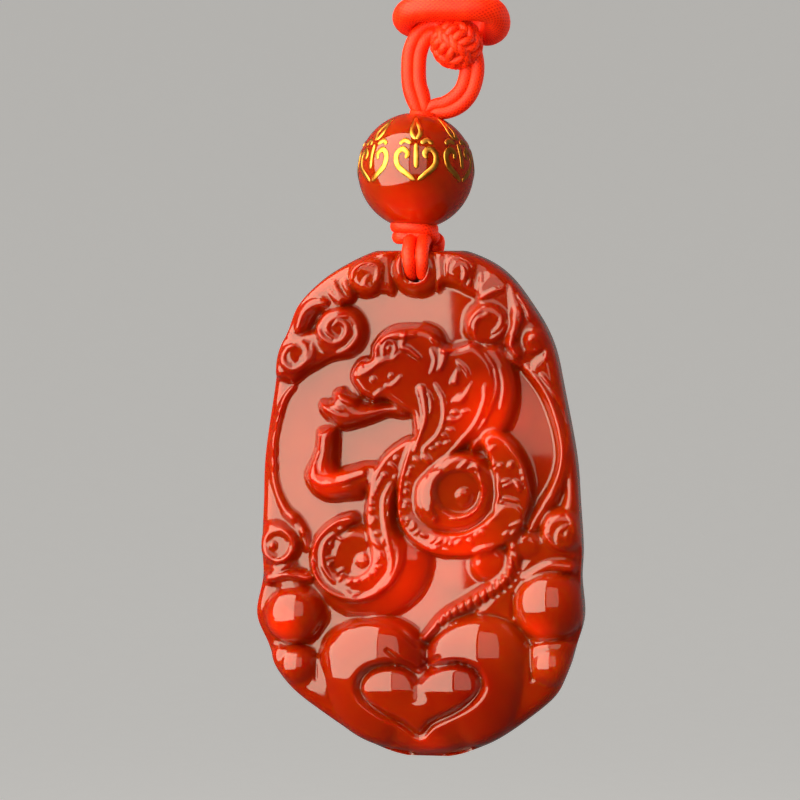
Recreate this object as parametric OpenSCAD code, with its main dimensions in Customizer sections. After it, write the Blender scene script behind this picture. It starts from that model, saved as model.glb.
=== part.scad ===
/* [Pendant] */
// Height of the carved stone from its top edge to its bottom edge
pendant_h = 52.3; // [46:0.1:58]
// Thickness of the stone under its flat sunken ground
ground_t = 5.2; // [4.6:0.1:6.5]
// Depth factor of the raised carving, 1 as on the real stone
relief = 1.0; // [0.7:0.05:1.2]
// Radius of the rounded front edge
edge_r = 1.5; // [1:0.1:2]
// Radius of the hole that the cord passes through
hole_r = 1.2; // [1.15:0.05:1.4]

/* [Bead] */
// Diameter of the round stone bead
bead_d = 12; // [11.6:0.1:12.2]
// Radius of the bead's drilled bore
bead_bore_r = 1.5; // [1.45:0.05:1.8]
// Lean of the bead's bore to the right, in degrees
bead_lean = 7; // [2:1:12]

/* [Cord] */
// Diameter of the neck cord and of each leg of the hanging ring
cord_d = 2.6; // [2.4:0.1:2.7]
// Diameter of each of the two strands through the stone's hole
strand_d = 1.3; // [1.2:0.05:1.35]
// Diameter of the round button knot
button_d = 5.4; // [5:0.1:5.6]

/* [Neck loop] */
// Inner radius of the loop where it lies round the neck
neck_r = 60; // [50:1:70]
// Drop from the inner top of the loop to the hitch over the ring
loop_drop = 275; // [240:5:320]

/* [Hidden] */

// The origin is the inner top of the loop, where the neck carries it.
// Heights below it are worked out from the hitch downwards.
bead_z = -loop_drop - 17;
bead_x = -3.5;
stone_x = -3;
stone_z = bead_z - 34.4;
hole_v = 24.1;
agate = [0.80, 0.12, 0.03];
thread = [0.96, 0.22, 0.08];

// Smooth curve through rows of any width, step points for each row
function curve(rows, step) = [
    for (i = [0 : len(rows) - 2]) for (k = [0 : step - 1])
        let (a = rows[max(i - 1, 0)], b = rows[i], c = rows[i + 1],
            d = rows[min(i + 2, len(rows) - 1)], t = k / step)
        0.5 * (2 * b + (c - a) * t + (2 * a - 5 * b + 4 * c - d) * t * t
            + (3 * b - a - 3 * c + d) * t * t * t),
    rows[len(rows) - 1]];

// The stone's outline: height above its middle, left edge and right edge.
// The rows follow the wavy outline of the clouds, balls and plain rim.
outline = [
    [26.15, -3.6, 3.9],
    [25.7, -5.2, 5.6],
    [24.6, -7.5, 7.9],
    [23.0, -10.0, 9.8],
    [20.6, -12.4, 11.6],
    [18.0, -13.5, 13.2],
    [15.4, -14.6, 14.2],
    [12.0, -15.0, 14.9],
    [5.0, -16.0, 16.2],
    [0.0, -16.2, 16.6],
    [-4.5, -16.4, 16.9],
    [-7.6, -16.3, 16.8],
    [-11.5, -17.0, 17.1],
    [-14.6, -15.8, 16.3],
    [-17.0, -14.9, 15.6],
    [-19.4, -13.0, 14.4],
    [-21.8, -9.8, 11.7],
    [-24.0, -6.5, 8.6],
    [-25.2, -3.9, 6.0],
    [-25.8, -2.0, 4.2],
    [-26.15, 0.1, 1.9]];
function row_at(rows, v, i = 0) = i >= len(rows) - 2 || v >= rows[i + 1][0] ?
    let (t = (rows[i][0] - v) / (rows[i][0] - rows[i + 1][0]))
    rows[i] + (rows[i + 1] - rows[i]) * min(1, max(0, t))
    : row_at(rows, v, i + 1);
outline_fine = curve(outline, 4);

// Each raised form is a route of rows: across, up, half width and height
// above the ground, on the stone's own middle. One row is a dome.
snake_head = [
    [[-2.4, 16.2, 2.1, 2.3], [0.0, 15.9, 2.7, 2.6], [1.2, 13.6, 2.9, 2.5], [0.8, 11.0, 2.6, 2.3]],
    [[-2.8, 15.2, 1.8, 2.2], [-5.4, 12.6, 1.9, 2.6]],
    [[-5.3, 12.2, 1.8, 2.4], [-2.4, 12.4, 2.2, 2.5], [0.5, 11.5, 2.4, 2.3]],
    [[-9.2, 11.0, 0.7, 1.5], [-7.4, 11.0, 0.9, 1.8], [-5.4, 11.0, 0.8, 1.9]],
    [[-10.0, 9.9, 0.7, 1.4], [-8.6, 9.1, 1.1, 1.8], [-6.4, 9.4, 1.2, 2.0],
        [-4.0, 10.1, 1.3, 2.0], [-1.6, 10.6, 1.5, 2.1]]];
snake_hood = [
    [[2.6, 14.4, 3.2, 1.9], [3.6, 12.4, 4.3, 2.0], [3.4, 10.0, 4.4, 2.0], [2.4, 7.6, 3.6, 2.0],
        [0.9, 5.4, 2.6, 2.0], [-0.7, 3.2, 1.5, 2.0], [-1.1, 0.4, 1.3, 1.9], [-0.6, -2.3, 1.3, 1.9],
        [1.4, -4.0, 1.3, 1.9], [4.2, -4.4, 1.3, 1.9], [6.8, -3.8, 1.5, 1.9], [8.9, -2.3, 1.8, 1.9],
        [10.0, 0.2, 1.9, 1.9], [9.7, 2.8, 1.9, 1.8], [8.6, 5.0, 1.6, 1.6], [7.5, 6.5, 1.0, 1.3]]];
snake_coils = [
    [[4.4, 1.0, 4.2, 2.1]],
    [[-0.9, 5.6, 1.1, 1.8], [-2.4, 4.3, 1.3, 1.9], [-3.6, 2.4, 1.4, 1.9], [-4.1, 0.0, 1.4, 1.9],
        [-4.1, -2.5, 1.4, 1.9], [-3.3, -5.0, 1.5, 2.0], [-3.6, -7.2, 1.5, 2.0], [-5.0, -8.6, 1.4, 2.0],
        [-7.0, -9.1, 1.3, 1.9], [-9.2, -8.3, 1.2, 1.8], [-10.3, -6.3, 1.1, 1.7],
        [-10.0, -4.2, 1.0, 1.6], [-8.6, -2.6, 0.8, 1.5], [-7.0, -1.8, 0.5, 1.3]],
    [[-6.6, -5.4, 2.6, 1.7]],
    [[-9.6, 7.6, 1.1, 1.4], [-10.0, 5.6, 1.4, 1.5], [-10.3, 3.4, 1.6, 1.7], [-9.5, 1.9, 1.7, 1.8],
        [-7.2, 1.9, 1.7, 1.8], [-4.8, 2.6, 1.5, 1.8], [-2.6, 4.2, 1.3, 1.8]],
    [[9.9, -3.0, 1.1, 1.6], [10.0, -5.2, 0.9, 1.5], [9.4, -7.4, 0.9, 1.5], [7.6, -9.0, 0.8, 1.5],
        [5.2, -10.4, 0.8, 1.4], [2.8, -11.8, 0.7, 1.2], [0.6, -14.0, 0.4, 0.9]],
    [[7.4, -6.3, 2.1, 1.2]],
    [[11.3, -4.4, 1.7, 1.3]]];
clouds = [
    [[-5.3, 23.4, 2.0, 1.7]],
    [[-3.4, 24.2, 1.6, 1.2], [-6.2, 23.6, 2.2, 1.2], [-9.0, 22.2, 1.7, 1.2], [-10.8, 20.4, 2.0, 1.2]],
    [[-8.5, 22.6, 0.8, 1.6], [-7.3, 21.0, 0.6, 1.3]],
    [[-9.7, 22.4, 0.8, 1.5], [-8.5, 20.9, 0.6, 1.3]],
    [[-12.5, 17.8, 1.0, 1.4], [-12.3, 19.8, 1.2, 1.6], [-10.9, 20.7, 1.2, 1.6], [-9.6, 19.6, 1.0, 1.6]],
    [[-8.1, 18.1, 2.6, 2.0]],
    [[-12.5, 15.4, 1.9, 1.8]],
    [[-10.0, 16.4, 2.3, 1.3], [-12.4, 14.4, 1.8, 1.3], [-13.0, 12.9, 0.9, 1.0]],
    [[4.2, 24.0, 1.9, 1.7]],
    [[2.4, 24.2, 1.6, 1.2], [6.8, 23.0, 2.1, 1.2], [9.8, 20.6, 2.2, 1.2], [12.2, 17.2, 2.0, 1.2],
        [13.3, 13.8, 1.1, 1.0]],
    [[7.1, 18.7, 2.5, 2.0]],
    [[10.0, 19.8, 0.9, 1.6], [9.8, 17.6, 0.9, 1.6], [10.2, 15.6, 0.8, 1.3]],
    [[12.1, 16.8, 1.5, 1.7]],
    [[-14.6, -4.3, 1.9, 1.8]],
    [[-13.2, -1.5, 0.7, 1.3], [-12.3, -2.7, 0.6, 1.2], [-11.8, -3.8, 0.7, 1.3]],
    [[-15.4, -7.8, 0.7, 1.3], [-13.4, -7.3, 0.6, 1.3], [-11.6, -7.8, 0.5, 1.1]],
    [[14.9, -2.9, 2.3, 1.8]],
    [[11.2, -7.8, 0.6, 1.0], [13.5, -6.5, 0.7, 1.2], [15.8, -6.7, 0.7, 1.2]]];
rims = [
    [[-15.1, 11.0, 0.5, 0.9], [-15.4, 6.0, 0.5, 0.9], [-15.2, 2.4, 0.6, 0.9], [-14.0, -0.4, 0.7, 1.0]],
    [[11.2, 14.2, 0.6, 0.9], [13.1, 12.0, 0.7, 1.0], [14.4, 9.0, 0.7, 1.0], [15.0, 6.0, 0.7, 1.0],
        [14.8, 3.4, 0.7, 1.0], [13.9, 1.0, 0.7, 1.0], [12.6, -1.0, 0.7, 1.0], [11.6, -2.6, 0.7, 1.0]],
    [[14.3, 13.0, 0.9, 0.8], [16.0, 6.0, 1.0, 0.8], [16.0, 0.0, 1.4, 0.8], [14.0, -5.0, 2.2, 0.8],
        [11.6, -8.0, 2.0, 0.8], [8.0, -12.0, 2.2, 0.8]],
    [[-15.4, -3.0, 1.6, 0.8], [-13.4, -7.6, 2.4, 0.8], [-9.0, -12.0, 2.6, 0.8],
        [-4.4, -11.4, 2.2, 0.8], [-1.2, -8.6, 1.6, 0.8]],
    [[-13.5, -17.0, 2.6, 1.2], [-9.0, -20.0, 3.6, 1.5], [0.2, -22.6, 3.6, 1.6], [9.6, -20.2, 3.8, 1.5],
        [14.0, -16.0, 2.6, 1.2]]];
balls = [
    [[-14.0, -11.6, 3.0, 2.7]],
    [[-12.6, -17.2, 2.2, 2.2]],
    [[13.4, -10.9, 3.7, 2.8]],
    [[13.6, -17.3, 2.3, 2.2]]];
heart = [
    [[-6.3, -16.7, 4.6, 2.7], [-4.6, -19.6, 4.6, 2.6], [0.0, -22.6, 2.4, 2.0]],
    [[6.0, -16.5, 4.6, 2.7], [5.0, -19.6, 4.6, 2.6], [0.4, -22.6, 2.4, 2.0]]];
// The small heart stands in a groove that is cut round it into the large one
small_heart = [
    [[-3.2, -19.1, 2.3, 2.9], [-1.7, -21.0, 2.1, 2.9], [0.2, -23.0, 0.8, 2.4]],
    [[3.2, -19.0, 2.5, 2.9], [1.9, -21.0, 2.2, 2.9], [0.2, -23.0, 0.8, 2.4]]];
groove_half_w = 0.9;
groove_depth = 1.0;
// A raised collar, open at its top, stands round the lower part of the hole
collar_r = 2.3;
collar = [[for (a = [195 : 15 : 345]) [collar_r * cos(a), hole_v + collar_r * sin(a), 0.7, 1.6]]];
forms = concat(snake_head, snake_hood, snake_coils, clouds, rims, balls, heart, collar);

// Smoothed routes, each with the box that it reaches
function reached(forms) = [for (f = forms) let (r = len(f) == 1 ? [f[0], f[0]] : curve(f, 3),
        w = max([for (p = r) p[2]]))
    [min([for (p = r) p[0]]) - w, max([for (p = r) p[0]]) + w,
        min([for (p = r) p[1]]) - w, max([for (p = r) p[1]]) + w, r]];
routes = reached(forms);
inner_routes = reached(small_heart);
groove_routes = reached([for (f = small_heart) [for (p = f) [p[0], p[1], p[2] + groove_half_w, groove_depth]]]);
function step_height(p, a, b) =
    let (d = [b[0] - a[0], b[1] - a[1]], q = [p[0] - a[0], p[1] - a[1]], n = d * d,
        t = n == 0 ? 0 : min(1, max(0, (d * q) / n)),
        s = norm(q - t * d) / (a[2] + (b[2] - a[2]) * t))
    s >= 1 ? 0 : (a[3] + (b[3] - a[3]) * t) * pow(1 - s * s, 0.6);
function form_height(p, r) = max([for (i = [0 : len(r) - 2]) step_height(p, r[i], r[i + 1])]);
function tallest(p, boxed) = max([0, for (f = boxed)
    if (p[0] > f[0] && p[0] < f[1] && p[1] > f[2] && p[1] < f[3]) form_height(p, f[4])]);
function carving(p) = max(tallest(p, routes) - tallest(p, groove_routes), tallest(p, inner_routes));

// How much the rounded front edge has fallen at a distance from the outline
function edge_drop(d) = d >= edge_r ? 0 : edge_r - sqrt(pow(edge_r, 2) - pow(edge_r - d, 2));

// The stone is one closed skin: a grid of rows and columns over the front,
// three rings down its side and a flat back.
grid_rows = 84;
grid_columns = 46;
grid_inset = 0.4;
back_bevel = 0.9;
half_h = pendant_h / 2;
grid_uv = [for (i = [0 : grid_rows]) for (j = [0 : grid_columns])
    let (v = -half_h + grid_inset + (pendant_h - 2 * grid_inset) * i / grid_rows,
        o = row_at(outline_fine, v))
    [o[1] + grid_inset + (o[2] - o[1] - 2 * grid_inset) * j / grid_columns, v]];
function edge_distance(p) = let (o = row_at(outline_fine, p[1]))
    min(p[0] - o[1], o[2] - p[0], half_h - abs(p[1]));
function front_y(p) = -relief * carving(p) + edge_drop(edge_distance(p));
columns = grid_columns + 1;
rim_loop = concat(
    [for (j = [0 : grid_columns]) j],
    [for (i = [1 : grid_rows]) i * columns + grid_columns],
    [for (j = [grid_columns - 1 : -1 : 0]) grid_rows * columns + j],
    [for (i = [grid_rows - 1 : -1 : 1]) i * columns]);
// A rim point moved out or in along the line from the stone's middle
function moved(p, d) = p * (1 + d / norm(p));
rim_uv = [for (k = rim_loop) grid_uv[k]];
rings = [
    [for (p = rim_uv) let (q = moved(p, grid_inset)) [q[0], edge_r * 0.8 - relief * carving(p), q[1]]],
    [for (p = rim_uv) let (q = moved(p, grid_inset)) [q[0], ground_t - back_bevel, q[1]]],
    [for (p = rim_uv) let (q = moved(p, grid_inset - back_bevel)) [q[0], ground_t, q[1]]]];
module stone_body() {
    count = len(rim_loop);
    first = len(grid_uv);
    middle = first + 3 * count;
    points = concat([for (p = grid_uv) [p[0], front_y(p), p[1]]], rings[0], rings[1], rings[2],
        [[0, ground_t, 0]]);
    function ring_point(r, k) = r == 0 ? rim_loop[k % count] : first + (r - 1) * count + k % count;
    faces = concat(
        [for (i = [0 : grid_rows - 1]) for (j = [0 : grid_columns - 1]) for (h = [0, 1])
            let (a = i * columns + j, b = a + 1, c = a + columns, d = c + 1)
            h == 0 ? [a, c, b] : [b, c, d]],
        [for (r = [0 : 2]) for (k = [0 : count - 1]) for (h = [0, 1])
            h == 0 ? [ring_point(r, k), ring_point(r, k + 1), ring_point(r + 1, k)]
                : [ring_point(r, k + 1), ring_point(r + 1, k + 1), ring_point(r + 1, k)]],
        [for (k = [0 : count - 1]) [ring_point(3, k), ring_point(3, k + 1), middle]]);
    polyhedron(points, faces);
}

// A cord: a tube swept along rows of x, y, z and radius
function unit(v) = v / norm(v);
function place(p) = [p[0], p[1], p[2]];
module swept(rows, step, sides = 8) {
    line = curve(rows, step);
    last = len(line) - 1;
    way = [for (i = [0 : last]) unit(place(line[min(i + 1, last)]) - place(line[max(i - 1, 0)]))];
    // The first side direction is carried along, turned as little as the route allows
    start = unit(cross(way[0], abs(way[0][1]) < 0.9 ? [0, 1, 0] : [1, 0, 0]));
    function carried(i) = i == 0 ? [start] :
        let (before = carried(i - 1), s = before[i - 1])
        concat(before, [unit(s - (s * way[i]) * way[i])]);
    side = carried(last);
    points = [for (i = [0 : last]) for (k = [0 : sides - 1])
        let (a = 360 * k / sides)
        place(line[i]) + line[i][3] * (cos(a) * side[i] + sin(a) * cross(way[i], side[i]))];
    faces = concat(
        [[for (k = [0 : sides - 1]) k]],
        [for (i = [0 : last - 1]) for (k = [0 : sides - 1])
            let (a = i * sides + k, b = i * sides + (k + 1) % sides)
            [a, a + sides, b + sides, b]],
        [[for (k = [sides - 1 : -1 : 0]) last * sides + k]]);
    polyhedron(points, faces);
}

// A knot: a ball whose surface swells in rows of crossing strands.
// A round of 1 gives a ball, less gives a fuller drum.
module knot(size, lumps, swell, round, sides = 16, belts = 10) {
    points = concat([[0, 0, -size[2] / 2]],
        [for (i = [1 : belts - 1]) for (k = [0 : sides - 1])
            let (a = 360 * k / sides, e = -90 + 180 * i / belts,
                g = (1 + swell * cos(lumps * a) * cos(e) * (i % 2 == 0 ? 1 : -1)) * pow(cos(e), round))
            [size[0] / 2 * g * cos(a), size[1] / 2 * g * sin(a), size[2] / 2 * sin(e)]],
        [[0, 0, size[2] / 2]]);
    top = len(points) - 1;
    faces = concat(
        [for (k = [0 : sides - 1]) [0, 1 + k, 1 + (k + 1) % sides]],
        [for (i = [0 : belts - 3]) for (k = [0 : sides - 1]) for (h = [0, 1])
            let (a = 1 + i * sides + k, b = 1 + i * sides + (k + 1) % sides)
            h == 0 ? [a, a + sides, b] : [b, a + sides, b + sides]],
        [for (k = [0 : sides - 1]) let (a = 1 + (belts - 2) * sides)
            [a + (k + 1) % sides, a + k, top]]);
    polyhedron(points, faces);
}

module pendant() {
    color(agate) translate([stone_x, 0, stone_z]) difference() {
        translate([0, -ground_t / 2, 0]) stone_body();
        translate([0, 0, hole_v]) rotate([90, 0, 0]) cylinder(h = 40, r = hole_r, center = true, $fn = 48);
    }
}

module bead() {
    color(agate) translate([bead_x, 0, bead_z]) difference() {
        sphere(d = bead_d, $fn = 96);
        rotate([0, bead_lean, 0]) cylinder(h = 2 * bead_d, r = bead_bore_r, center = true, $fn = 48);
    }
}

// The two strands lie side by side in front of the stone's top edge, pass through
// its hole and rise behind it, a little to the right.
// Rows are shift to the right, y, z and radius from the hole's middle.
strand_r = strand_d / 2;
hole_strand_r = 0.52;
strand_gap = 0.05;
tie_route = [
    [-0.1, -1.0, 3.2, strand_r],
    [-0.1, -2.4, 2.95, strand_r],
    [-0.1, -3.6, 1.8, strand_r],
    [0, -3.9, 1.0, 0.6],
    [0, -3.2, 0.25, hole_strand_r],
    [0, -1.6, 0.25, hole_strand_r],
    [0, 1.6, 0.25, hole_strand_r],
    [0, 3.0, 0.35, hole_strand_r],
    [0.2, 3.5, 1.0, 0.6],
    [0.6, 3.5, 1.8, strand_r],
    [0.9, 2.7, 3.0, strand_r],
    [0.8, 1.7, 3.35, strand_r]];
module tie_strand(way) {
    color(thread) translate([stone_x, 0, stone_z + hole_v])
        swept([for (r = tie_route) [r[0] + way * (r[3] + strand_gap), r[1], r[2], r[3]]], 2);
}
module tie_strand_left() { tie_strand(-1); }
module tie_strand_right() { tie_strand(1); }

// The knot under the bead gathers the strands
tie_knot_size = [4.5, 4.4, 1.6];
tie_knot_place = [0, -0.1, -6.9];
module tie_knot() {
    color(thread) translate([bead_x, 0, bead_z] + tie_knot_place) knot(tie_knot_size, 3, 0.05, 0.5);
}

// The strands' stretch through the bead, squeezed into one round bundle
bundle_clearance = 0.1;
bundle_foot = 6.3;
bundle_top = 6.1;
module bore_cord() {
    color(thread) translate([bead_x, 0, bead_z]) rotate([0, bead_lean, 0]) translate([0, 0, -bundle_foot])
        cylinder(h = bundle_foot + bundle_top, r = bead_bore_r - bundle_clearance, $fn = 48);
}

// The ring's legs, from the bead's bore round to the button knot.
// Rows are x, z and radius from the bead's middle.
leg_r = cord_d / 2;
ring_left = [
    [0.75, 5.7, 0.8], [0.5, 6.6, 1.1], [0.2, 7.6, leg_r], [-0.15, 8.8, leg_r], [-0.25, 10.4, leg_r],
    [-0.1, 12.2, leg_r], [0.6, 13.8, 1.25], [1.7, 14.6, 1.25], [3.0, 14.3, 1.25]];
ring_right = [
    [1.15, 5.5, 0.6], [2.3, 6.7, 0.9], [3.8, 7.1, 1.2], [5.0, 7.9, leg_r], [5.6, 9.2, leg_r],
    [5.8, 10.6, leg_r], [5.6, 12.0, leg_r]];
module ring_leg(rows) {
    color(thread) translate([bead_x, 0, bead_z]) swept([for (r = rows) [r[0], 0, r[1], r[2]]], 3);
}
module ring_cord_left() { ring_leg(ring_left); }
module ring_cord_right() { ring_leg(ring_right); }

// The button knot closes the ring
button_place = [4.3, -0.6, 13.0];
module button_knot() {
    color(thread) translate([bead_x, 0, bead_z] + button_place)
        rotate([90, 20, 0]) knot([button_d, button_d, button_d], 4, 0.05, 1);
}

// The hitch: a bar over the front of the ring's top, its ends turned back,
// down and then up behind it. Rows are x, y and z from the bead's middle.
hitch_r = 1.2;
hitch_route = [
    [1.85, 2.4, 20.2], [1.7, 2.7, 18.4], [1.1, 3.0, 16.8], [0.2, 2.9, 15.7], [-0.7, 1.9, 15.3],
    [-1.1, 0.1, 15.7], [-0.4, -1.6, 16.4], [1.4, -2.4, 16.7], [4.2, -2.5, 16.8], [6.6, -2.3, 16.8],
    [8.0, -1.4, 16.5], [8.5, 0.0, 15.5], [8.0, 1.6, 14.6], [6.9, 2.7, 14.4], [5.8, 3.1, 15.6],
    [5.3, 2.9, 17.4], [5.15, 2.4, 20.2]];
module hitch() {
    color(thread) translate([bead_x, 0, bead_z])
        swept([for (r = hitch_route) [r[0], r[1], r[2], hitch_r]], 2);
}

// The neck loop: an arc over the neck and straight sides down to the hitch.
// Angles run from the top of the loop, and a side leaves the arc where it is tangent.
arc_r = neck_r + leg_r;
arc_z = -neck_r;
foot_x = 6.6;
foot_z = bead_z + 46;
knot_angle = 2.2;
arc_steps = 7;
side_angle = 90 + asin(arc_r / norm([foot_x, foot_z - arc_z])) - atan2(foot_x, arc_z - foot_z);
// Below the foot the sides draw together. Rows are x, y and z above the bead's middle.
neck_ends = [
    [4.1, 0.1, 37], [2.5, 0.4, 31], [1.9, 1.0, 27], [1.7, 1.9, 23.5], [1.65, 2.4, 20.0]];
module neck_side(way) {
    turn = [for (k = [0 : arc_steps]) let (a = knot_angle + (side_angle - knot_angle) * k / arc_steps)
        [way * arc_r * sin(a), 0, arc_z + arc_r * cos(a), leg_r]];
    foot = [way * foot_x, 0, foot_z, leg_r];
    below = [for (t = [0.09, 0.25, 0.45, 0.65, 0.82, 0.93]) turn[arc_steps] + (foot - turn[arc_steps]) * t];
    ends = [for (p = neck_ends) [way * p[0], p[1], bead_z + p[2], leg_r]];
    color(thread) swept(concat(turn, below, [foot], ends), 2);
}
module neck_cord_left() { neck_side(-1); }
module neck_cord_right() { neck_side(1); }

// The plain barrel knot behind the neck, where the cord's ends join
barrel_l = 5;
barrel_r = 2.3;
barrel_chamfer = 0.6;
module nape_knot() {
    color(thread) translate([-barrel_l / 2, 0, barrel_r + 0.05]) rotate([0, 90, 0])
        rotate_extrude($fn = 48) polygon([
            [0, 0], [barrel_r - barrel_chamfer, 0], [barrel_r, barrel_chamfer],
            [barrel_r, barrel_l - barrel_chamfer], [barrel_r - barrel_chamfer, barrel_l], [0, barrel_l]]);
}

pendant();
bead();
tie_strand_left();
tie_strand_right();
tie_knot();
bore_cord();
ring_cord_left();
ring_cord_right();
button_knot();
hitch();
neck_cord_left();
neck_cord_right();
nape_knot();
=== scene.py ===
# %% [markdown]
# # A carved agate pendant necklace
# The real thing is a flat piece of red agate, carved with a snake among clouds, balls and hearts.
# It hangs on two thin strands under a round bead, and a knotted cord carries both from the neck.
# The solids come packed from the CAD source. This lesson dresses them with the finer shapes and the
# finishes. It starts by loading them.

# %% Load the solids
import bpy
import bmesh
import math
import numpy as np
from mathutils import Matrix, Vector


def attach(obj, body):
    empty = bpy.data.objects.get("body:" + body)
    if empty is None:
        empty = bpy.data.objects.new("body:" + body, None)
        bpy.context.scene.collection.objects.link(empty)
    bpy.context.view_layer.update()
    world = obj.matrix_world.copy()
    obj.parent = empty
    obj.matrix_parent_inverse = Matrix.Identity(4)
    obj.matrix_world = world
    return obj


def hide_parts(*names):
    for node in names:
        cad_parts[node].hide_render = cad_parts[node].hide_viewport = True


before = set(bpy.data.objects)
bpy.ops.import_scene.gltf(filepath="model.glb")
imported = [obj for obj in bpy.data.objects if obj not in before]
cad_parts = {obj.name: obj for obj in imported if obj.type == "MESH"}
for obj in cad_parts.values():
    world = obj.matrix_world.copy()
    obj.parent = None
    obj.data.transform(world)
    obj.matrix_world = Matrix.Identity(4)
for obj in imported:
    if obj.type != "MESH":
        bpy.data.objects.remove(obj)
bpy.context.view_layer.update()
MM = 0.001
STONE = np.array((-3.0, 0.0, -326.4))

# %% [markdown]
# ## The camera
# The photograph was taken a little from the right and from just above, close up with a long lens.
# The camera goes in first, so that every later step can be looked at from the right place. It looks
# at the point that lies in the middle of the picture, from eight degrees to the right.

# %% Set up the camera
AIM = np.array((-4.96, -1.46, -315.65))
TURN, RISE = math.radians(8), math.radians(3)
LENS, SENSOR, PICTURE_WIDTH = 110, 36, 82.7  # the last is what the picture shows across
back = np.array((math.sin(TURN) * math.cos(RISE), -math.cos(TURN) * math.cos(RISE), math.sin(RISE)))
EYE = AIM + back * PICTURE_WIDTH * LENS / SENSOR
bpy.ops.object.camera_add(location=EYE * MM, rotation=Vector(-back).to_track_quat("-Z", "Y").to_euler())
camera = bpy.context.object
camera.data.lens, camera.data.sensor_width = LENS, SENSOR
camera.data.clip_start = 0.01
bpy.context.scene.camera = camera
print("camera stands", round(float(np.linalg.norm(EYE - AIM))), "mm from the pendant")

# %% [markdown]
# ## Shader maths as plain expressions
# A procedural finish is arithmetic on positions and noise. Wiring Math nodes by hand hides that, so
# a small class wraps a socket, and + - * / on it add the nodes. Noise and colour ramps have methods
# of their own, and one method adds any other node.

# %% A socket that can be used in sums
class Wire:
    def __init__(self, tree, socket):
        self.tree, self.socket = tree, socket

    def node(self, kind, settings=(), out=0, **values):
        made = self.tree.nodes.new(kind)
        for name, value in dict(settings).items():
            if name == "stops":
                ramp = made.color_ramp.elements
                while len(ramp) < len(value):
                    ramp.new(0.5)
                for stop, (place, colour) in zip(ramp, value):
                    stop.position, stop.color = place, (*colour, 1)
            else:
                setattr(made, name, value)
        for name, value in values.items():
            spot = made.inputs[int(name[2:]) if name.startswith("in") else name.replace("_", " ")]
            if isinstance(value, Wire):
                self.tree.links.new(value.socket, spot)
            else:
                spot.default_value = value
        return Wire(self.tree, made.outputs[out])

    def noise(self, scale, detail, **more):
        return self.node("ShaderNodeTexNoise", Vector=self, Scale=scale, Detail=detail, **more)

    def ramp(self, *stops):
        return self.node("ShaderNodeValToRGB", {"stops": stops}, Fac=self)

    def maths(self, operation, *others):
        return self.node("ShaderNodeMath", {"operation": operation}, in0=self,
                         **{f"in{i + 1}": other for i, other in enumerate(others)})

    def __add__(self, other): return self.maths("ADD", other)
    def __sub__(self, other): return self.maths("SUBTRACT", other)
    def __mul__(self, other): return self.maths("MULTIPLY", other)
    def __truediv__(self, other): return self.maths("DIVIDE", other)
    def __rsub__(self, other): return self * -1 + other
    __radd__ = __add__


def finish(name, **constants):
    """A new material, its shader and its Object coordinates. Constants go on the shader's sockets."""
    material = bpy.data.materials.new(name)
    material.use_nodes = True
    tree = material.node_tree
    shader = tree.nodes["Principled BSDF"]
    for key, value in constants.items():
        shader.inputs[key.replace("_", " ")].default_value = value
    return material, shader, Wire(tree, tree.nodes.new("ShaderNodeTexCoord").outputs["Object"])


def feed(shader, name, wire):
    wire.tree.links.new(wire.socket, shader.inputs[name])


print("shader tools ready")

# %% [markdown]
# ## Red agate
# Agate is quartz, coloured through and polished, so it is smooth outside and cloudy inside: light
# goes in, spreads a few millimetres and comes out redder. Subsurface scattering does that. Two
# noises of different size make the cloudy bands, and a third one stands for faint polishing marks.
# A few places also get a painted glow, which stands for light shining through the stone. Each is a
# ball of warmer red that fades outwards, made from the distance to its middle.

# %% Make the agate
agate, shader, place = finish(
    "agate", Subsurface_Weight=1.0, Subsurface_Radius=(1.0, 0.14, 0.04), Subsurface_Scale=2.6 * MM,
    IOR=1.54)
clouds = place.noise(110.0, 3.0, Roughness=0.55)
bands = place.noise(38.0, 2.0, Distortion=1.2)
tone = clouds * 0.4 + bands * 0.6
plain = tone.ramp((0.30, (0.21, 0.0040, 0.0001)), (0.50, (0.28, 0.012, 0.0001)),
                  (0.72, (0.36, 0.024, 0.0002)))
# painted glow: balls of warmer red where light shining through the stone comes out, not a colour of the stone
PAINTED_GLOW_COLOUR, PAINTED_GLOW_Y = (0.70, 0.021, 0.0002, 1), -4.5
PAINTED_GLOWS = [  # across, up and reach from the stone's middle, in millimetres
    (-1.5, -8.0, 5.8), (7.5, 9.5, 5.0), (5.0, -4.5, 5.0), (-9.0, 2.5, 2.4), (12.7, -12.5, 2.2),
    (-13.7, -12.5, 2.3), (-0.5, 29.8, 4.3), (1.5, -26.0, 3.0)]
painted_glow = 0.0
for across, up, reach in PAINTED_GLOWS:
    middle = tuple((STONE + (across, PAINTED_GLOW_Y, up)) * MM)
    far = place.node("ShaderNodeVectorMath", {"operation": "DISTANCE"}, out=1, in0=place, in1=middle)
    painted_glow = painted_glow + (1 - far / (reach * MM)).maths("MAXIMUM", 0.0)
feed(shader, "Base Color", plain.node("ShaderNodeMix", {"data_type": "RGBA"}, out=2,
                                      in0=painted_glow.maths("MINIMUM", 1.0), in6=plain, in7=PAINTED_GLOW_COLOUR))
marks = place.noise(900.0, 2.0)
feed(shader, "Roughness", marks * 0.03 + 0.015)
print("agate has", len(agate.node_tree.nodes), "nodes")

# %% [markdown]
# ## Woven cord
# The cords are tight round braids of fine polyester thread, bright orange red and a little shiny.
# Every cord gets a map that runs round it and along it in millimetres, so one braid pattern fits
# them all: two sets of slanting ribs that pass over and under each other.

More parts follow.
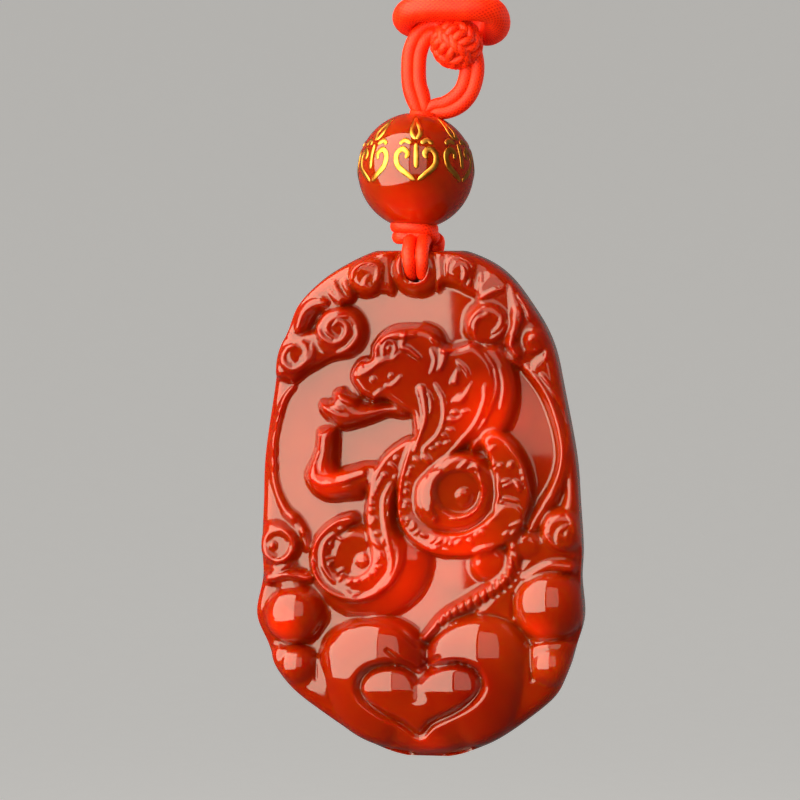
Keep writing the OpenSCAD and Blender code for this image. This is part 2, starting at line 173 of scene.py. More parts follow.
# %% Make the cord finish
thread, shader, place = finish("thread", Subsurface_Weight=0.2, Specular_IOR_Level=0.25,
                               Subsurface_Radius=(1.0, 0.2, 0.08), Subsurface_Scale=0.5 * MM)
around_along = place.node("ShaderNodeUVMap", {"uv_map": "cord"})
across = around_along.node("ShaderNodeSeparateXYZ", Vector=around_along)
along = Wire(across.tree, across.socket.node.outputs[1])
RIB = 0.42  # width of one rib, in millimetres
one = ((across + along) * (math.tau / RIB)).maths("SINE") * 0.5 + 0.5
other = ((across - along) * (math.tau / RIB)).maths("SINE") * 0.5 + 0.5
weave = one.maths("MAXIMUM", other)
fluff = place.noise(700.0, 3.0)
# painted shade between the ribs and painted light on their crests, from the weave; the fine noise is the
# thread's own uneven tone
groove_shade_and_tone = weave * 0.55 + fluff * 0.6
feed(shader, "Base Color", groove_shade_and_tone.ramp(
    (0.35, (0.62, 0.007, 0.0005)), (0.70, (0.88, 0.021, 0.001)), (1.0, (0.97, 0.040, 0.003))))
feed(shader, "Roughness", fluff * 0.16 + 0.38)
feed(shader, "Normal", weave.node("ShaderNodeBump", Height=weave * 0.6 + fluff * 0.4, Strength=0.3,
                                  Distance=0.06 * MM))
print("thread has", len(thread.node_tree.nodes), "nodes")

# %% [markdown]
# ## Gold paint
# The bead carries small painted ornaments. Gold paint is a metal powder in lacquer: metallic, warm
# yellow, a little rough, and uneven where the brush left less of it.

# %% Make the gold
gold, shader, place = finish("gold", Metallic=1.0)
strokes = place.noise(1300.0, 3.0)
feed(shader, "Base Color", strokes.ramp((0.35, (0.80, 0.27, 0.03)), (0.65, (1.0, 0.45, 0.08))))
feed(shader, "Roughness", strokes * 0.25 + 0.25)
print("gold has", len(gold.node_tree.nodes), "nodes")

# %% [markdown]
# ## Helpers for placing finished pieces
# A finished piece keeps its object at the origin, and its place is in its mesh, as the CAD nodes
# have it. It rides on a body of the frame and stands for one or more CAD nodes.

# %% Finish a piece
def settle(piece, name, material, body, slot, *nodes, angle=None):
    """Name a piece, give it its material, and set it in the frame for the nodes that it replaces."""
    bpy.ops.object.select_all(action="DESELECT")
    piece.select_set(True)
    bpy.context.view_layer.objects.active = piece
    bpy.ops.object.transform_apply(location=True, rotation=True, scale=True)
    if angle is None:
        bpy.ops.object.shade_smooth()
    else:
        bpy.ops.object.shade_smooth_by_angle(angle=math.radians(angle))
    piece.name = piece.data.name = name
    piece.data.materials.clear()
    piece.data.materials.append(material)
    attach(piece, body)
    if nodes:
        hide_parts(*nodes)
    print(name, len(piece.data.polygons), "faces")


def start(primitive, **settings):
    """A primitive on its own in edit mode, with nothing else selected."""
    bpy.ops.object.select_all(action="DESELECT")
    primitive(**settings)
    bpy.ops.object.mode_set(mode="EDIT")
    return bpy.context.object


def curve(rows, step):
    """Smooth curve through rows of any width, step points for each row."""
    rows = np.array(rows, float)
    out = []
    for i in range(len(rows) - 1):
        a, b, c, d = rows[max(i - 1, 0)], rows[i], rows[i + 1], rows[min(i + 2, len(rows) - 1)]
        for t in np.arange(step) / step:
            out.append(0.5 * (2 * b + (c - a) * t + (2 * a - 5 * b + 4 * c - d) * t * t
                              + (3 * b - a - 3 * c + d) * t ** 3))
    return np.array(out + [rows[-1]])


def lengths(line):
    """The distance along a line to each of its points."""
    return np.concatenate([[0], np.cumsum(np.linalg.norm(np.diff(line, axis=0), axis=1))])


print("helpers ready")

# %% [markdown]
# ## Reading the carving
# The carving is drawn as strokes. Places are read off the front view in millimetres, from a middle
# that lies at one point of the picture. `on_stone` follows the camera's ray to the stone, so a place
# on a raised form lands where that form really is, and not beside it.

# %% Turn a place in the picture into a place on the stone
GROUND = 2.6  # half the stone's thickness under the relief
FORWARD = -back
RIGHT = np.cross(FORWARD, (0, 0, 1)) / np.linalg.norm(np.cross(FORWARD, (0, 0, 1)))
UP = np.cross(RIGHT, FORWARD)
PICTURE, MIDDLE = 800, (425, 503)  # the picture's side and the grid's middle
PIXEL = 12 / 116  # the bead is 12 mm and 116 pixels wide


def on_stone(places, height):
    places = np.atleast_2d(np.array(places, float))
    right = (MIDDLE[0] + places[:, :1] / PIXEL - PICTURE / 2) / PICTURE * SENSOR / LENS
    up = (PICTURE / 2 - MIDDLE[1] + places[:, 1:2] / PIXEL) / PICTURE * SENSOR / LENS
    ray = FORWARD + right * RIGHT + up * UP
    reach = (-GROUND - height - EYE[1]) / ray[:, 1:2]
    point = EYE + reach * ray - STONE
    return point[:, [0, 2]]


print("middle of the picture's grid lies at", on_stone((0, 0), 0).round(2))

# %% [markdown]
# ## The stone's front as a height map
# A carver cuts the ground away and leaves the figures standing. A fine grid does the same: every
# point of it is pushed out by the tallest form over it. The grid starts as a plain grid primitive,
# and its rows are then stretched between the left and right edge of the outline.

# %% The outline and the grid
OUTLINE = [  # up, left edge, right edge
    (26.15, -3.6, 3.9), (25.7, -5.2, 5.6), (24.6, -7.5, 7.9), (23.0, -10.0, 9.8), (20.6, -12.4, 11.6),
    (18.0, -13.5, 13.2), (15.4, -14.6, 14.2), (12.0, -15.0, 14.9), (5.0, -16.0, 16.2),
    (0.0, -16.2, 16.6), (-4.5, -16.4, 16.9), (-7.6, -16.3, 16.8), (-11.5, -17.0, 17.1),
    (-14.6, -15.8, 16.3), (-17.0, -14.9, 15.6), (-19.4, -13.0, 14.4), (-21.8, -9.8, 11.7), (-24.0, -6.5, 8.6),
    (-25.2, -3.9, 6.0), (-25.8, -2.0, 4.2), (-26.15, 0.1, 1.9)]
ROWS, COLUMNS = 396, 228
EDGE_R, INSET = 1.1, 0.2  # the rounded edge, and the grid's way in from it
outline = curve(OUTLINE, 6)
TOP = OUTLINE[0][0]
heights = np.linspace(-TOP + INSET, TOP - INSET, ROWS + 1)
left = np.interp(heights, outline[::-1, 0], outline[::-1, 1]) + INSET
right = np.interp(heights, outline[::-1, 0], outline[::-1, 2]) - INSET
share = np.linspace(0, 1, COLUMNS + 1)
U = left[:, None] + (right - left)[:, None] * share
V = np.repeat(heights[:, None], COLUMNS + 1, axis=1)
ring = np.vstack([outline[:, [1, 0]], outline[::-1, [2, 0]]])
print("grid of", U.shape, "points")

# %% [markdown]
# ## Forms
# A form is a route with a half width and a height on each row, and its section is a rounded hill. A
# slab is a flat piece inside a closed outline, an egg is a round form, and a sink is a round floor
# that goes down. Forms and slabs never stand on each other: the tallest one wins. Most tops fall a
# little to the lower right, which decides what each of them mirrors.

# %% Distances and hills
relief = np.zeros_like(U)


def near(route, reach):
    """The part of the grid within reach of a route."""
    low, high = route[:, :2].min(0) - reach, route[:, :2].max(0) + reach
    return (U > low[0]) & (U < high[0]) & (V > low[1]) & (V < high[1])


def beside(p, a, b):
    """How far along the straight piece from a to b each point lies, from 0 to 1, and its way off it."""
    d = b[:2] - a[:2]
    t = np.clip(((p - a[:2]) @ d) / max(d @ d, 1e-9), 0, 1)
    return t, p - a[:2] - t[:, None] * d


def shoulder(share):
    """A quarter round, from 0 at its foot to 1 at its top."""
    return np.sqrt(1 - (1 - share) ** 2)


def downhill(across, up):
    """How far a place lies towards the lower right."""
    return 0.8 * across - 0.6 * up


def hill(route, edge=9.0, tilt=0.0, groove=False):
    """Height at every grid point of a hill swept along rows of across, up, half width, height. Its
    shoulders are rounded over the width of edge, and its top falls by tilt to the lower right."""
    out = np.zeros_like(U)
    here = near(route, route[:, 2].max())
    p = np.stack([U[here], V[here]], 1)
    closest, found = np.ones(len(p)), np.zeros(len(p))
    for a, b in zip(route, route[1:] if len(route) > 1 else route):
        t, off = beside(p, a, b)
        half = a[2] + (b[2] - a[2]) * t
        s = np.linalg.norm(off, axis=1) / half
        top = a[3] + (b[3] - a[3]) * t - tilt * downhill(off[:, 0], off[:, 1])
        inward = np.clip((1 - s) * half / np.minimum(edge, half), 0, 1)
        side = np.clip(1 - s ** 2, 0, 1) ** 1.3 if groove else shoulder(inward)
        found = np.where(s < closest, top * side, found)
        closest = np.minimum(closest, s)
    out[here] = found
    return out


def fence(outline, height):
    """Distance inwards from a closed outline, and zero outside it."""
    line = on_stone(curve(outline + outline[:1], 5), height)
    here = near(line, 0.1)
    p = np.stack([U[here], V[here]], 1)
    far, inside = np.full(len(p), 99.0), np.zeros(len(p), bool)
    for a, b in zip(line, line[1:]):
        d = b - a
        far = np.minimum(far, np.linalg.norm(beside(p, a, b)[1], axis=1))
        crossing = a[0] + (p[:, 1] - a[1]) * d[0] / (d[1] + 1e-9)
        inside ^= ((p[:, 1] > a[1]) != (p[:, 1] > b[1])) & (p[:, 0] < crossing)
    out = np.zeros_like(U)
    out[here] = far * inside
    return out


print("a hill can be swept along a route")

# %% Tools for the masses
def swept(rows, height, rise):
    """A smooth route through rows of across, up and half width, seen at a height over the ground."""
    rows = np.array(rows, float)
    route = np.column_stack([on_stone(rows[:, :2], height), rows[:, 2], np.full(len(rows), rise)])
    return curve(route, 4) if len(route) > 1 else route


def slab(height, edge, tilt, outline):
    """Raise a flat piece with rounded shoulders inside a closed outline."""
    global relief
    x, y = on_stone(np.mean(outline, 0), height)[0]
    top = height - tilt * downhill(U - x, V - y)
    relief = np.maximum(relief, top * shoulder(np.clip(fence(outline, height) / edge, 0, 1)))


def form(height, rows, edge=1.0, tilt=0.12):
    """Raise a form. Rows are across, up and half width."""
    global relief
    relief = np.maximum(relief, hill(swept(rows, height, height), edge, tilt))


FIGURE = 1.8  # where the top of the figures mostly lies
SINK_WALL, SINK_TILT = 0.35, 0.12


def sink(depth, across, up, half):
    """Sink a round floor with steep walls into what is there."""
    global relief
    x, y = on_stone((across, up), FIGURE)[0]
    side = np.clip((half - np.hypot(U - x, V - y)) / SINK_WALL, 0, 1)
    relief = relief - shoulder(side) * (depth + SINK_TILT * downhill(U - x, V - y))


def egg(height, across, up, wide, tall):
    """Height map of a round form with its own reach to the left and right, and up and down."""
    x, y = on_stone((across, up), height)[0]
    s = ((U - x) / np.where(U < x, *wide)) ** 2 + ((V - y) / np.where(V > y, *tall)) ** 2
    return height * np.sqrt(np.clip(1 - s, 0, 1))


print("tools for the masses ready")

# %% [markdown]
# ## The big forms
# First come the masses, in the order of a carver: banks of cloud, rims, the snake, balls and heart.

# %% Clouds and rims
slab(1.1, 0.8, 0.05, [
    (-3.4, 27), (-3.2, 21.9), (-4.4, 21.9), (-6.2, 21.8), (-7.2, 22), (-7.5, 20.9), (-8.4, 20.3),
    (-9.4, 19.7), (-11, 19.6), (-11.9, 18.2), (-12.6, 17.2), (-13.4, 16.9), (-15.5, 17), (-15, 22),
    (-10, 26.5)])
slab(1.2, 0.9, 0.08, [
    (-6.6, 17.4), (-7.2, 15.9), (-8.6, 15.1), (-10, 14.7), (-11.3, 14), (-12.5, 13.3), (-13.6, 12.4),
    (-14.4, 12.6), (-16, 13.4), (-16, 17), (-12, 17.8), (-9, 19)])
slab(1.1, 0.8, 0.08, [
    (0.5, 27), (1, 22.2), (1.8, 22.6), (3, 22.4), (3.8, 22), (4.6, 21.6), (5.6, 21.4), (7.4, 23.6),
    (7, 26.5)])
slab(1.05, 0.8, 0.09, [
    (5, 22.6), (5.2, 20.9), (4.3, 19.4), (4, 17.6), (5, 16.6), (6.5, 16.2), (8, 15.8), (9.6, 17),
    (9.8, 20), (8.6, 24), (6.6, 24.4)])
slab(1.05, 0.8, 0.09, [
    (8.2, 24), (8.6, 18.6), (8.3, 15), (9.8, 13.9), (11.6, 14.6), (13.4, 16.4), (12.8, 20), (10.4, 23.4)])
slab(0.9, 0.8, 0.07, [(10.2, 13.9), (12.5, 12), (17, 10), (17, 15), (14.2, 17.4), (12.2, 16)])
form(1.5, [(-0.93, 24.1, 2.6)])
form(1.7, [(-6.2, 23.4, 2)])
form(1.7, [(-8.9, 17.7, 2.65)], 0.8)
form(1.55, [(-13.2, 15.3, 1.95)])
form(1.6, [(-13.2, 18.1, 0.55), (-12.7, 19.6, 0.65), (-11.7, 20.6, 0.75), (-10.6, 20.7, 0.65)], 0.5, 0)
form(1.5, [(3.6, 24.1, 1.75)])
form(1.6, [(6.4, 18.5, 2.4)])
form(1.6, [(9.5, 19.8, 0.8), (9.2, 18, 0.85), (8.9, 16.6, 0.8), (9.5, 15.3, 0.6)])
form(1.5, [(11.4, 16.8, 1.5)])
form(0.55, [
    (-13.7, 12, 0.2), (-14.7, 10.6, 0.22), (-15.6, 7.3, 0.22), (-15.8, 4.9, 0.22), (-15.6, 1.9, 0.25),
    (-14.6, -0.6, 0.4), (-13.6, -1.8, 0.6), (-12.8, -3.1, 0.6), (-12.2, -4.6, 0.4)], 0.3)
form(0.8, [
    (13.2, 13.6, 1), (14.9, 9, 0.9), (15.4, 3, 0.9), (15.2, -1, 1.2), (13.2, -5, 2.2), (10.8, -8, 2),
    (7.2, -12, 2.2)])
form(1, [
    (10.6, 14, 0.6), (12.4, 11.8, 0.75), (13.6, 9, 0.75), (14.3, 6, 0.7), (14.2, 3.4, 0.7),
    (13.3, 1, 0.75), (12, -1, 0.75), (11, -2.6, 0.7)])
form(0.9, [(-16, -3, 1.2), (-14.2, -8.2, 1.4), (-11.8, -11.8, 1.6)], tilt=0)
relief = np.maximum(relief, egg(1.5, -5.8, -6.0, (6.4, 6.3), (3.0, 6.2)))
form(1.5, [(-15.3, -4.4, 2.1)], 0.6, -0.03)
sink(0.35, -15.3, -4.4, 1.45)
form(1.3, [(-16.2, -7.8, 0.7), (-14.2, -7.4, 0.6), (-12.2, -7.8, 0.5)])
form(1.7, [(14.1, -3, 2.25)])
form(1.2, [(10.4, -7.8, 0.6), (12.7, -6.6, 0.7), (15, -6.7, 0.7)])
print("clouds and rims stand")

# %% The snake's masses
slab(1.5, 1.2, 0.08, [
    (5.3, 16.6), (7.6, 16.4), (8.9, 14.6), (9.5, 12.6), (9.5, 10.6), (9, 8.6), (8, 7), (6.5, 6),
    (4.5, 5.4), (5, 8), (6, 11), (6, 14)])
slab(1.9, 1.3, 0.06, [
    (-11.4, 7.6), (-9.7, 7.9), (-9.3, 7.2), (-9.3, 3.7), (-8.5, 3.6), (-6.5, 4.1), (-4.6, 4.2), (-3, 5.4),
    (-1.6, 6.4), (-1.5, 3), (-3.5, 1), (-5.9, 1.2), (-6.6, 0.5), (-8.4, 0.3), (-10.2, 0.2), (-11.6, 0.9),
    (-12.5, 2.1), (-12.6, 3.2), (-12, 4.5), (-11.5, 5.9)])
form(1.9, [
    (-1.7, 5.6, 1.1), (-3.2, 4.3, 1.3), (-4.3, 2.4, 1.4), (-4.8, 0, 1.45), (-4.8, -2.5, 1.45),
    (-4.1, -5, 1.6), (-4.4, -7.2, 1.6), (-5.8, -8.6, 1.5), (-7.8, -9, 1.4), (-9.9, -8.2, 1.3),
    (-10.8, -6.3, 1.2), (-10.6, -4.2, 1.1), (-9.3, -2.6, 0.9), (-7.8, -1.8, 0.6)], 0.35)
form(1.5, [(-7.3, -5.4, 3)])
form(2, [
    (0.1, 5.4, 2), (-1.4, 3.2, 1.3), (-1.9, 0.4, 1.2), (-1.4, -2.3, 1.3), (0.6, -4, 1.3),
    (3.4, -4.4, 1.3), (6, -3.8, 1.5), (8.1, -2.3, 1.8), (8.7, -1.6, 1.7)], 0.35)
slab(2.1, 0.4, 0.1, [
    (10.3, -2), (10.9, -0.4), (11, 1.6), (10.6, 3.6), (9.6, 5.6), (8, 7.2), (6.6, 7.4), (5.8, 6.4),
    (6.4, 4.6), (7, 2.5), (7.2, 0.5), (7, -1.4), (8.6, -2.6)])
form(1.9, [(4.6, 1, 3.4)], 0.6)
slab(2.35, 0.7, 0.1, [
    (1.1, 3.9), (-0.2, 3.1), (-1.1, 1.8), (-1.3, 0.2), (-1, -1.3), (0.2, -2.7), (1.8, -3.1), (3.6, -3.2),
    (5.3, -2.6), (6.6, -1.2), (7.1, 0.6), (7, 2.4), (6.3, 4), (5.2, 4.9), (3.6, 5.3), (2.3, 4.9)])
form(1.5, [
    (9.1, -3, 1.1), (9.2, -5.2, 0.9), (8.7, -7.4, 0.9), (6.9, -9, 0.85), (4.6, -10.4, 0.8),
    (2.1, -11.8, 0.7), (-0.1, -14, 0.45)])
form(1.2, [(6.7, -6.3, 2)])
form(1.3, [(10.6, -4.5, 1.6)])
slab(2.15, 0.7, 0.09, [
    (0.8, 17.2), (1.6, 16.5), (2.9, 16.2), (4.7, 16.7), (5.4, 16.5), (6.4, 15.6), (7.1, 14.6),
    (7.5, 13.1), (7.6, 11.2), (7.1, 9.8), (6.4, 8.4), (5.4, 7.2), (4.1, 5.9), (2.5, 4.7), (0.8, 3),
    (-0.9, 3.4), (-1.5, 5), (-1.5, 6.3), (-1.35, 7.5), (-1.6, 9), (-2.4, 10.5), (-2.5, 12.5),
    (-1.5, 15.5)])
slab(2, 1.2, 0.06, [
    (-11.2, 10.4), (-10.7, 10.6), (-9.9, 10.6), (-9.7, 11.4), (-9, 11.8), (-8.3, 11.5), (-7.3, 10.9),
    (-6.6, 10.2), (-5, 10.2), (-2, 10.4), (-1.3, 9.3), (-2.5, 8.8), (-4, 9), (-5.9, 8.3), (-7.5, 7.8),
    (-8.8, 7.6), (-9.6, 8.1), (-10.4, 8.7), (-11.1, 9.6)])
slab(2.75, 0.8, 0.09, [
    (-5.8, 16.1), (-5.3, 16.9), (-4.6, 17.7), (-3.2, 18.3), (-1.7, 18.4), (0, 18.3), (1.3, 17.5),
    (2, 15.5), (1.9, 13.5), (1.4, 11.5), (0.4, 9.8), (-1.2, 9), (-2.6, 9.4), (-4.2, 10.5), (-5.4, 10.4),
    (-6.7, 10.9), (-7.3, 11.6), (-7.85, 12.5), (-7.95, 13.3), (-7.6, 14.1), (-6.9, 14.8), (-5.9, 15)])
print("tallest form is", relief.max().round(2), "mm")

# %% Balls, base and heart
form(1.3, [
    (-14.3, -17, 2.4), (-9.8, -20, 3.6), (-0.6, -22.4, 3.7), (8.8, -20.2, 3.8), (13.2, -16, 2.6)], edge=3)
for ball in (egg(2.7, -13.8, -11.9, (3.3, 3.1), (3.1, 3.1)), egg(2.2, -13.5, -17.1, (2.2, 2.2), (2.2, 2.2)),
             egg(2.9, 12.6, -11.0, (3.7, 3.7), (3.7, 3.7)), egg(2.2, 12.9, -17.1, (2.3, 2.3), (2.3, 2.3))):
    relief = np.maximum(relief, ball)
SOFT = 0.12  # how far joined forms fill their joint


def blend(*parts):
    """The tallest of several height maps, with their joins filled a little."""
    return SOFT * np.log(sum(np.exp(part / SOFT) for part in parts) - len(parts) + 1)


relief = np.maximum(relief, blend(
    egg(3.1, -5.3, -16.5, (6.1, 5.3), (4.4, 9.4)), egg(3.1, 5.4, -16.5, (5.6, 5.2), (4.6, 9.4)),
    egg(2.4, 0.0, -19.5, (8.5, 8.5), (2.6, 6.6))))
INNER, INNER_UP = [
    (-0.7, -18.3), (-1.9, -17.1), (-3.8, -16.7), (-5.8, -17.2), (-6.9, -18.7), (-6.4, -20.3), (-4.6, -21.7),
    (-2.5, -22.8), (-0.7, -24.1), (0.6, -22.9), (2.6, -21.9), (4.8, -20.6), (5.9, -19.0), (5.3, -17.3),
    (3.6, -16.6), (1.6, -16.9), (0.2, -17.5)], 2.3
line = on_stone(curve(INNER + INNER[:1], 4), INNER_UP)
line = np.column_stack([line, np.full(len(line), 0.55), np.full(len(line), 0.6)])
inner = blend(egg(1.0, -3.5, -19.4, (3.5, 3.2), (2.8, 4.2)), egg(1.0, 3.1, -19.0, (4.2, 2.9), (2.5, 4.6)),
              egg(0.9, -0.6, -21.2, (3.4, 3.4), (2.2, 3.0)))
relief = np.where(fence(INNER, INNER_UP) > 0, 1.9 - 0.11 * np.abs(V + 18.8) + inner, relief)
relief = relief - hill(line, groove=True)
print("balls and hearts stand")

# %% [markdown]
# ## A first polish
# Polishing rounds every crest and fills every corner a little. A small blur does that to the height
# map. It comes before the fine strokes, so that they stay crisp.

# %% Polish the big forms
def softened(rows, centre):
    """The height map with each point drawn towards its neighbours, less with a bigger centre."""
    for axis in (0, 1):
        wide = np.pad(rows, [(1, 1) if k == axis else (0, 0) for k in (0, 1)], mode="edge")
        before = np.take(wide, range(rows.shape[axis]), axis)
        after = np.take(wide, range(2, rows.shape[axis] + 2), axis)
        rows = (before + after + centre * rows) / (centre + 2)
    return rows


relief = softened(softened(relief, 2), 2)
print("masses polished")

# %% [markdown]
# ## Strokes, facets, bands and cuts
# The fine work lies on the masses. A stroke is a narrow ridge that fades at both ends, such as a
# curl of cloud. A facet and a band are small flats turned to the upper left, so each mirrors the
# light as one bright patch. A cut takes a groove away.

# %% Tools for the fine work
CORNER = 0.22  # the width of a small flat's edge
BAND_HEIGHT = 1.9


def drawn(points):
    """A smooth line over the figures through places in the picture, or one point."""
    line = on_stone(points, FIGURE)
    return curve(line, 3) if len(line) > 1 else line


def stroke(rise, half, points, taper=0.5):
    """Lay a narrow ridge on top of what is there."""
    global relief
    line = drawn(points)
    ends = np.linspace(-1, 1, len(line)) if len(line) > 1 else np.zeros(1)
    width = half * (1 - taper * np.abs(ends) ** 3)
    relief = relief + hill(np.column_stack([line, width * 0.8 + 0.02, rise * width / half]))


def facet(rise, outline):
    """Raise a small flat inside a closed outline and turn its top to the upper left."""
    global relief
    x, y = on_stone(np.mean(outline, 0), FIGURE)[0]
    top = np.clip(rise + 0.22 * downhill(U - x, V - y), 0.04, None)
    relief = relief + top * np.clip(fence(outline, FIGURE) / CORNER, 0, 1)


def band(rise, rows):
    """Lay a flat ribbon that is turned to the upper left. Rows are across, up and half width."""
    global relief
    relief = relief + hill(swept(rows, BAND_HEIGHT, rise), CORNER, -0.25)


def cut(depth, half, points):
    """Cut a rounded groove along points."""
    global relief
    line = drawn(points)
    row = np.column_stack([line, np.full(len(line), half), np.full(len(line), depth)])
    relief = np.maximum(relief - hill(row, groove=True), 0)


print("tools for the fine work ready")

# %% [markdown]
# ## Drawing the clouds, the snake and the joins
# Now the curls, the lines of the hood, the face and the coils. Each is a short list of places, with
# its step and its half width.

# %% Curls of cloud
CURLS = [  # step, half width, places
    (0.3, 0.45, [(-7.7, 22.8), (-7.6, 24), (-6.8, 24.9), (-5.8, 25.1), (-4.9, 24.6), (-4.8, 23.7),
        (-5.1, 23)]),
    (0.2, 0.35, [(-6.1, 23.3), (-6.3, 22.6), (-5.8, 22.1), (-5, 22), (-4, 22.1)]),
    (0.4, 0.45, [(-8.5, 23.2), (-8.2, 22.3), (-7.5, 21.2)]),
    (0.35, 0.4, [(-9.7, 23), (-9.2, 22), (-8.5, 21.2), (-7.7, 20.9)]),
    (0.35, 0.4, [(-10.1, 22), (-9.2, 21.1), (-8.6, 20.5)]),
    (0.3, 0.42, [(-11.2, 19.3), (-11.3, 18.3), (-10.9, 17.4), (-10.2, 16.8), (-9.5, 16.5), (-8.7, 16.8),
        (-8.2, 17.4), (-8.1, 18.1), (-8.4, 18.6), (-9, 18.8), (-9.4, 18.4)]),
    (0.22, 0.32, [(-8.1, 19.3), (-9.2, 19.2), (-10, 18.6), (-10.1, 17.8), (-9.6, 17.2), (-9.1, 17)]),
    (0.25, 0.3, [(-7.2, 18.3), (-7, 17.4), (-7.6, 16.4), (-8.6, 15.6), (-10.1, 15.1)]),
    (0.35, 0.45, [(-13.6, 16.2), (-14.3, 16.1), (-14.8, 15.3), (-14.7, 14.5), (-14.1, 13.9),
        (-13.4, 13.8), (-12.6, 14.3), (-11.9, 14.9), (-11.7, 15.7), (-11.8, 16.2)]),
    (0.2, 0.32, [(-13, 16.7), (-12.5, 16.4), (-12.2, 15.7), (-12.4, 15.1), (-12.8, 14.8)]),
    (0.25, 0.4, [(-2.7, 25.9), (-2.9, 24.6), (-2.5, 23.2)]),
    (0.25, 0.25, [(-1.5, 22.9), (-0.9, 22.7), (-0.2, 23), (0.2, 23.6), (0.35, 24.3)]),
    (0.25, 0.3, [(2.2, 23.5), (2.25, 24.7), (2.8, 25.5), (3.6, 25.6), (4.4, 25.2), (4.9, 24.7),
        (4.95, 24.1)]),
    (0.2, 0.28, [(3.9, 24.4), (4.1, 23.8), (3.95, 23), (3.5, 22.4)]),
    (0.25, 0.26, [(4.7, 23.1), (4.2, 22.2)]),
    (0.3, 0.32, [(5.1, 21.1), (6, 21.4), (7, 21.9), (8.1, 22.2)]),
    (0.2, 0.25, [(5.8, 23.7), (5.6, 22.8)]),
    (0.2, 0.3, [(6.5, 19.7), (6.1, 19.3), (5.5, 19.1), (5.1, 18.4), (5.1, 17.2)]),
    (0.2, 0.28, [(5.8, 20), (5.1, 19.5), (4.6, 18.8), (4.4, 18), (4.4, 17.3)]),
    (0.15, 0.28, [(7.9, 19.5), (7.9, 18.7), (7.6, 18.1), (7, 17.6)]),
    (0.2, 0.3, [(8.6, 19.1), (8.3, 18.2), (7.7, 17.4), (6.8, 16.9)]),
    (0.25, 0.3, [(9.8, 19.8), (9.8, 18.8), (9.4, 17.8), (9, 17), (8.8, 16.4), (9, 15.7), (9.7, 15)]),
    (0.2, 0.26, [(9.4, 19), (9.1, 18), (8.6, 17.2)]),
    (0.25, 0.3, [(8.1, 15.7), (8.7, 14.9), (9.6, 14.1)]),
    (0.35, 0.42, [(9.6, 21.6), (10.2, 20.8), (10.6, 20), (10.8, 19)]),
    (0.25, 0.6, [(10.7, 17), (11.6, 17.2)]),
    (0.2, 0.3, [(10.4, 15.8), (11.1, 15.6), (11.9, 15.9)]),
    (0.25, 0.35, [(12.3, 16.4), (12.5, 15.6), (12.4, 14.8)])]
for row in CURLS:
    stroke(*row)
print("clouds drawn")

# %% Rims and side scrolls
SCROLLS = [  # step, half width, places
    (0.2, 0.35, [(11.3, 13), (12.6, 11), (13.5, 8.6), (14, 6), (13.9, 4.2), (13.3, 2.2), (12, -0.2)]),
    (0.3, 0.35, [(12, 13.2), (13.4, 11.2), (14.4, 9.5), (14.8, 7), (14.6, 5)]),
    (0.35, 0.45, [(-14.3, -1.3), (-13.6, -1.9)]),
    (0.35, 0.4, [(-13, -2.8), (-12.6, -3.4)]),
    (0.3, 0.4, [(-16.3, -2.5), (-15.5, -2.3), (-14.8, -2.6), (-14.1, -3.4), (-13.5, -4.6)]),
    (0.3, 0.4, [(-15.9, -4.5)]),
    (0.2, 0.3, [(-14.1, -4.3), (-14.2, -5.2), (-14.8, -5.9), (-15.7, -6.2)]),
    (0.25, 0.4, [(-16.3, -6.9), (-15.2, -6.9), (-14.2, -6.4)]),
    (0.25, 0.3, [(-15.8, -7.9), (-14.8, -7.5), (-13.5, -7.6)]),
    (0.25, 0.3, [(12.1, -2.7), (12.5, -2), (12.7, -1.4), (13.1, -0.9), (14.1, -0.6)]),
    (0.25, 0.4, [(14.5, -0.9), (15.1, -1.5), (15.4, -2.4), (15.5, -3.3)]),
    (0.2, 0.28, [(14.6, -2.4), (13.9, -2.9), (13.7, -3.6), (13.8, -4.2), (14.3, -4.5)]),
    (0.2, 0.22, [(14.1, -3.1), (14.2, -3.9)]),
    (0.2, 0.22, [(14.7, -2.9), (14.5, -4)]),
    (0.3, 0.28, [(12.2, -3), (12.9, -4), (13.9, -4.8), (15, -5.3)]),
    (0.3, 0.5, [(15.4, -5.7)])]
for row in SCROLLS:
    stroke(*row)
print("rims and scrolls drawn")

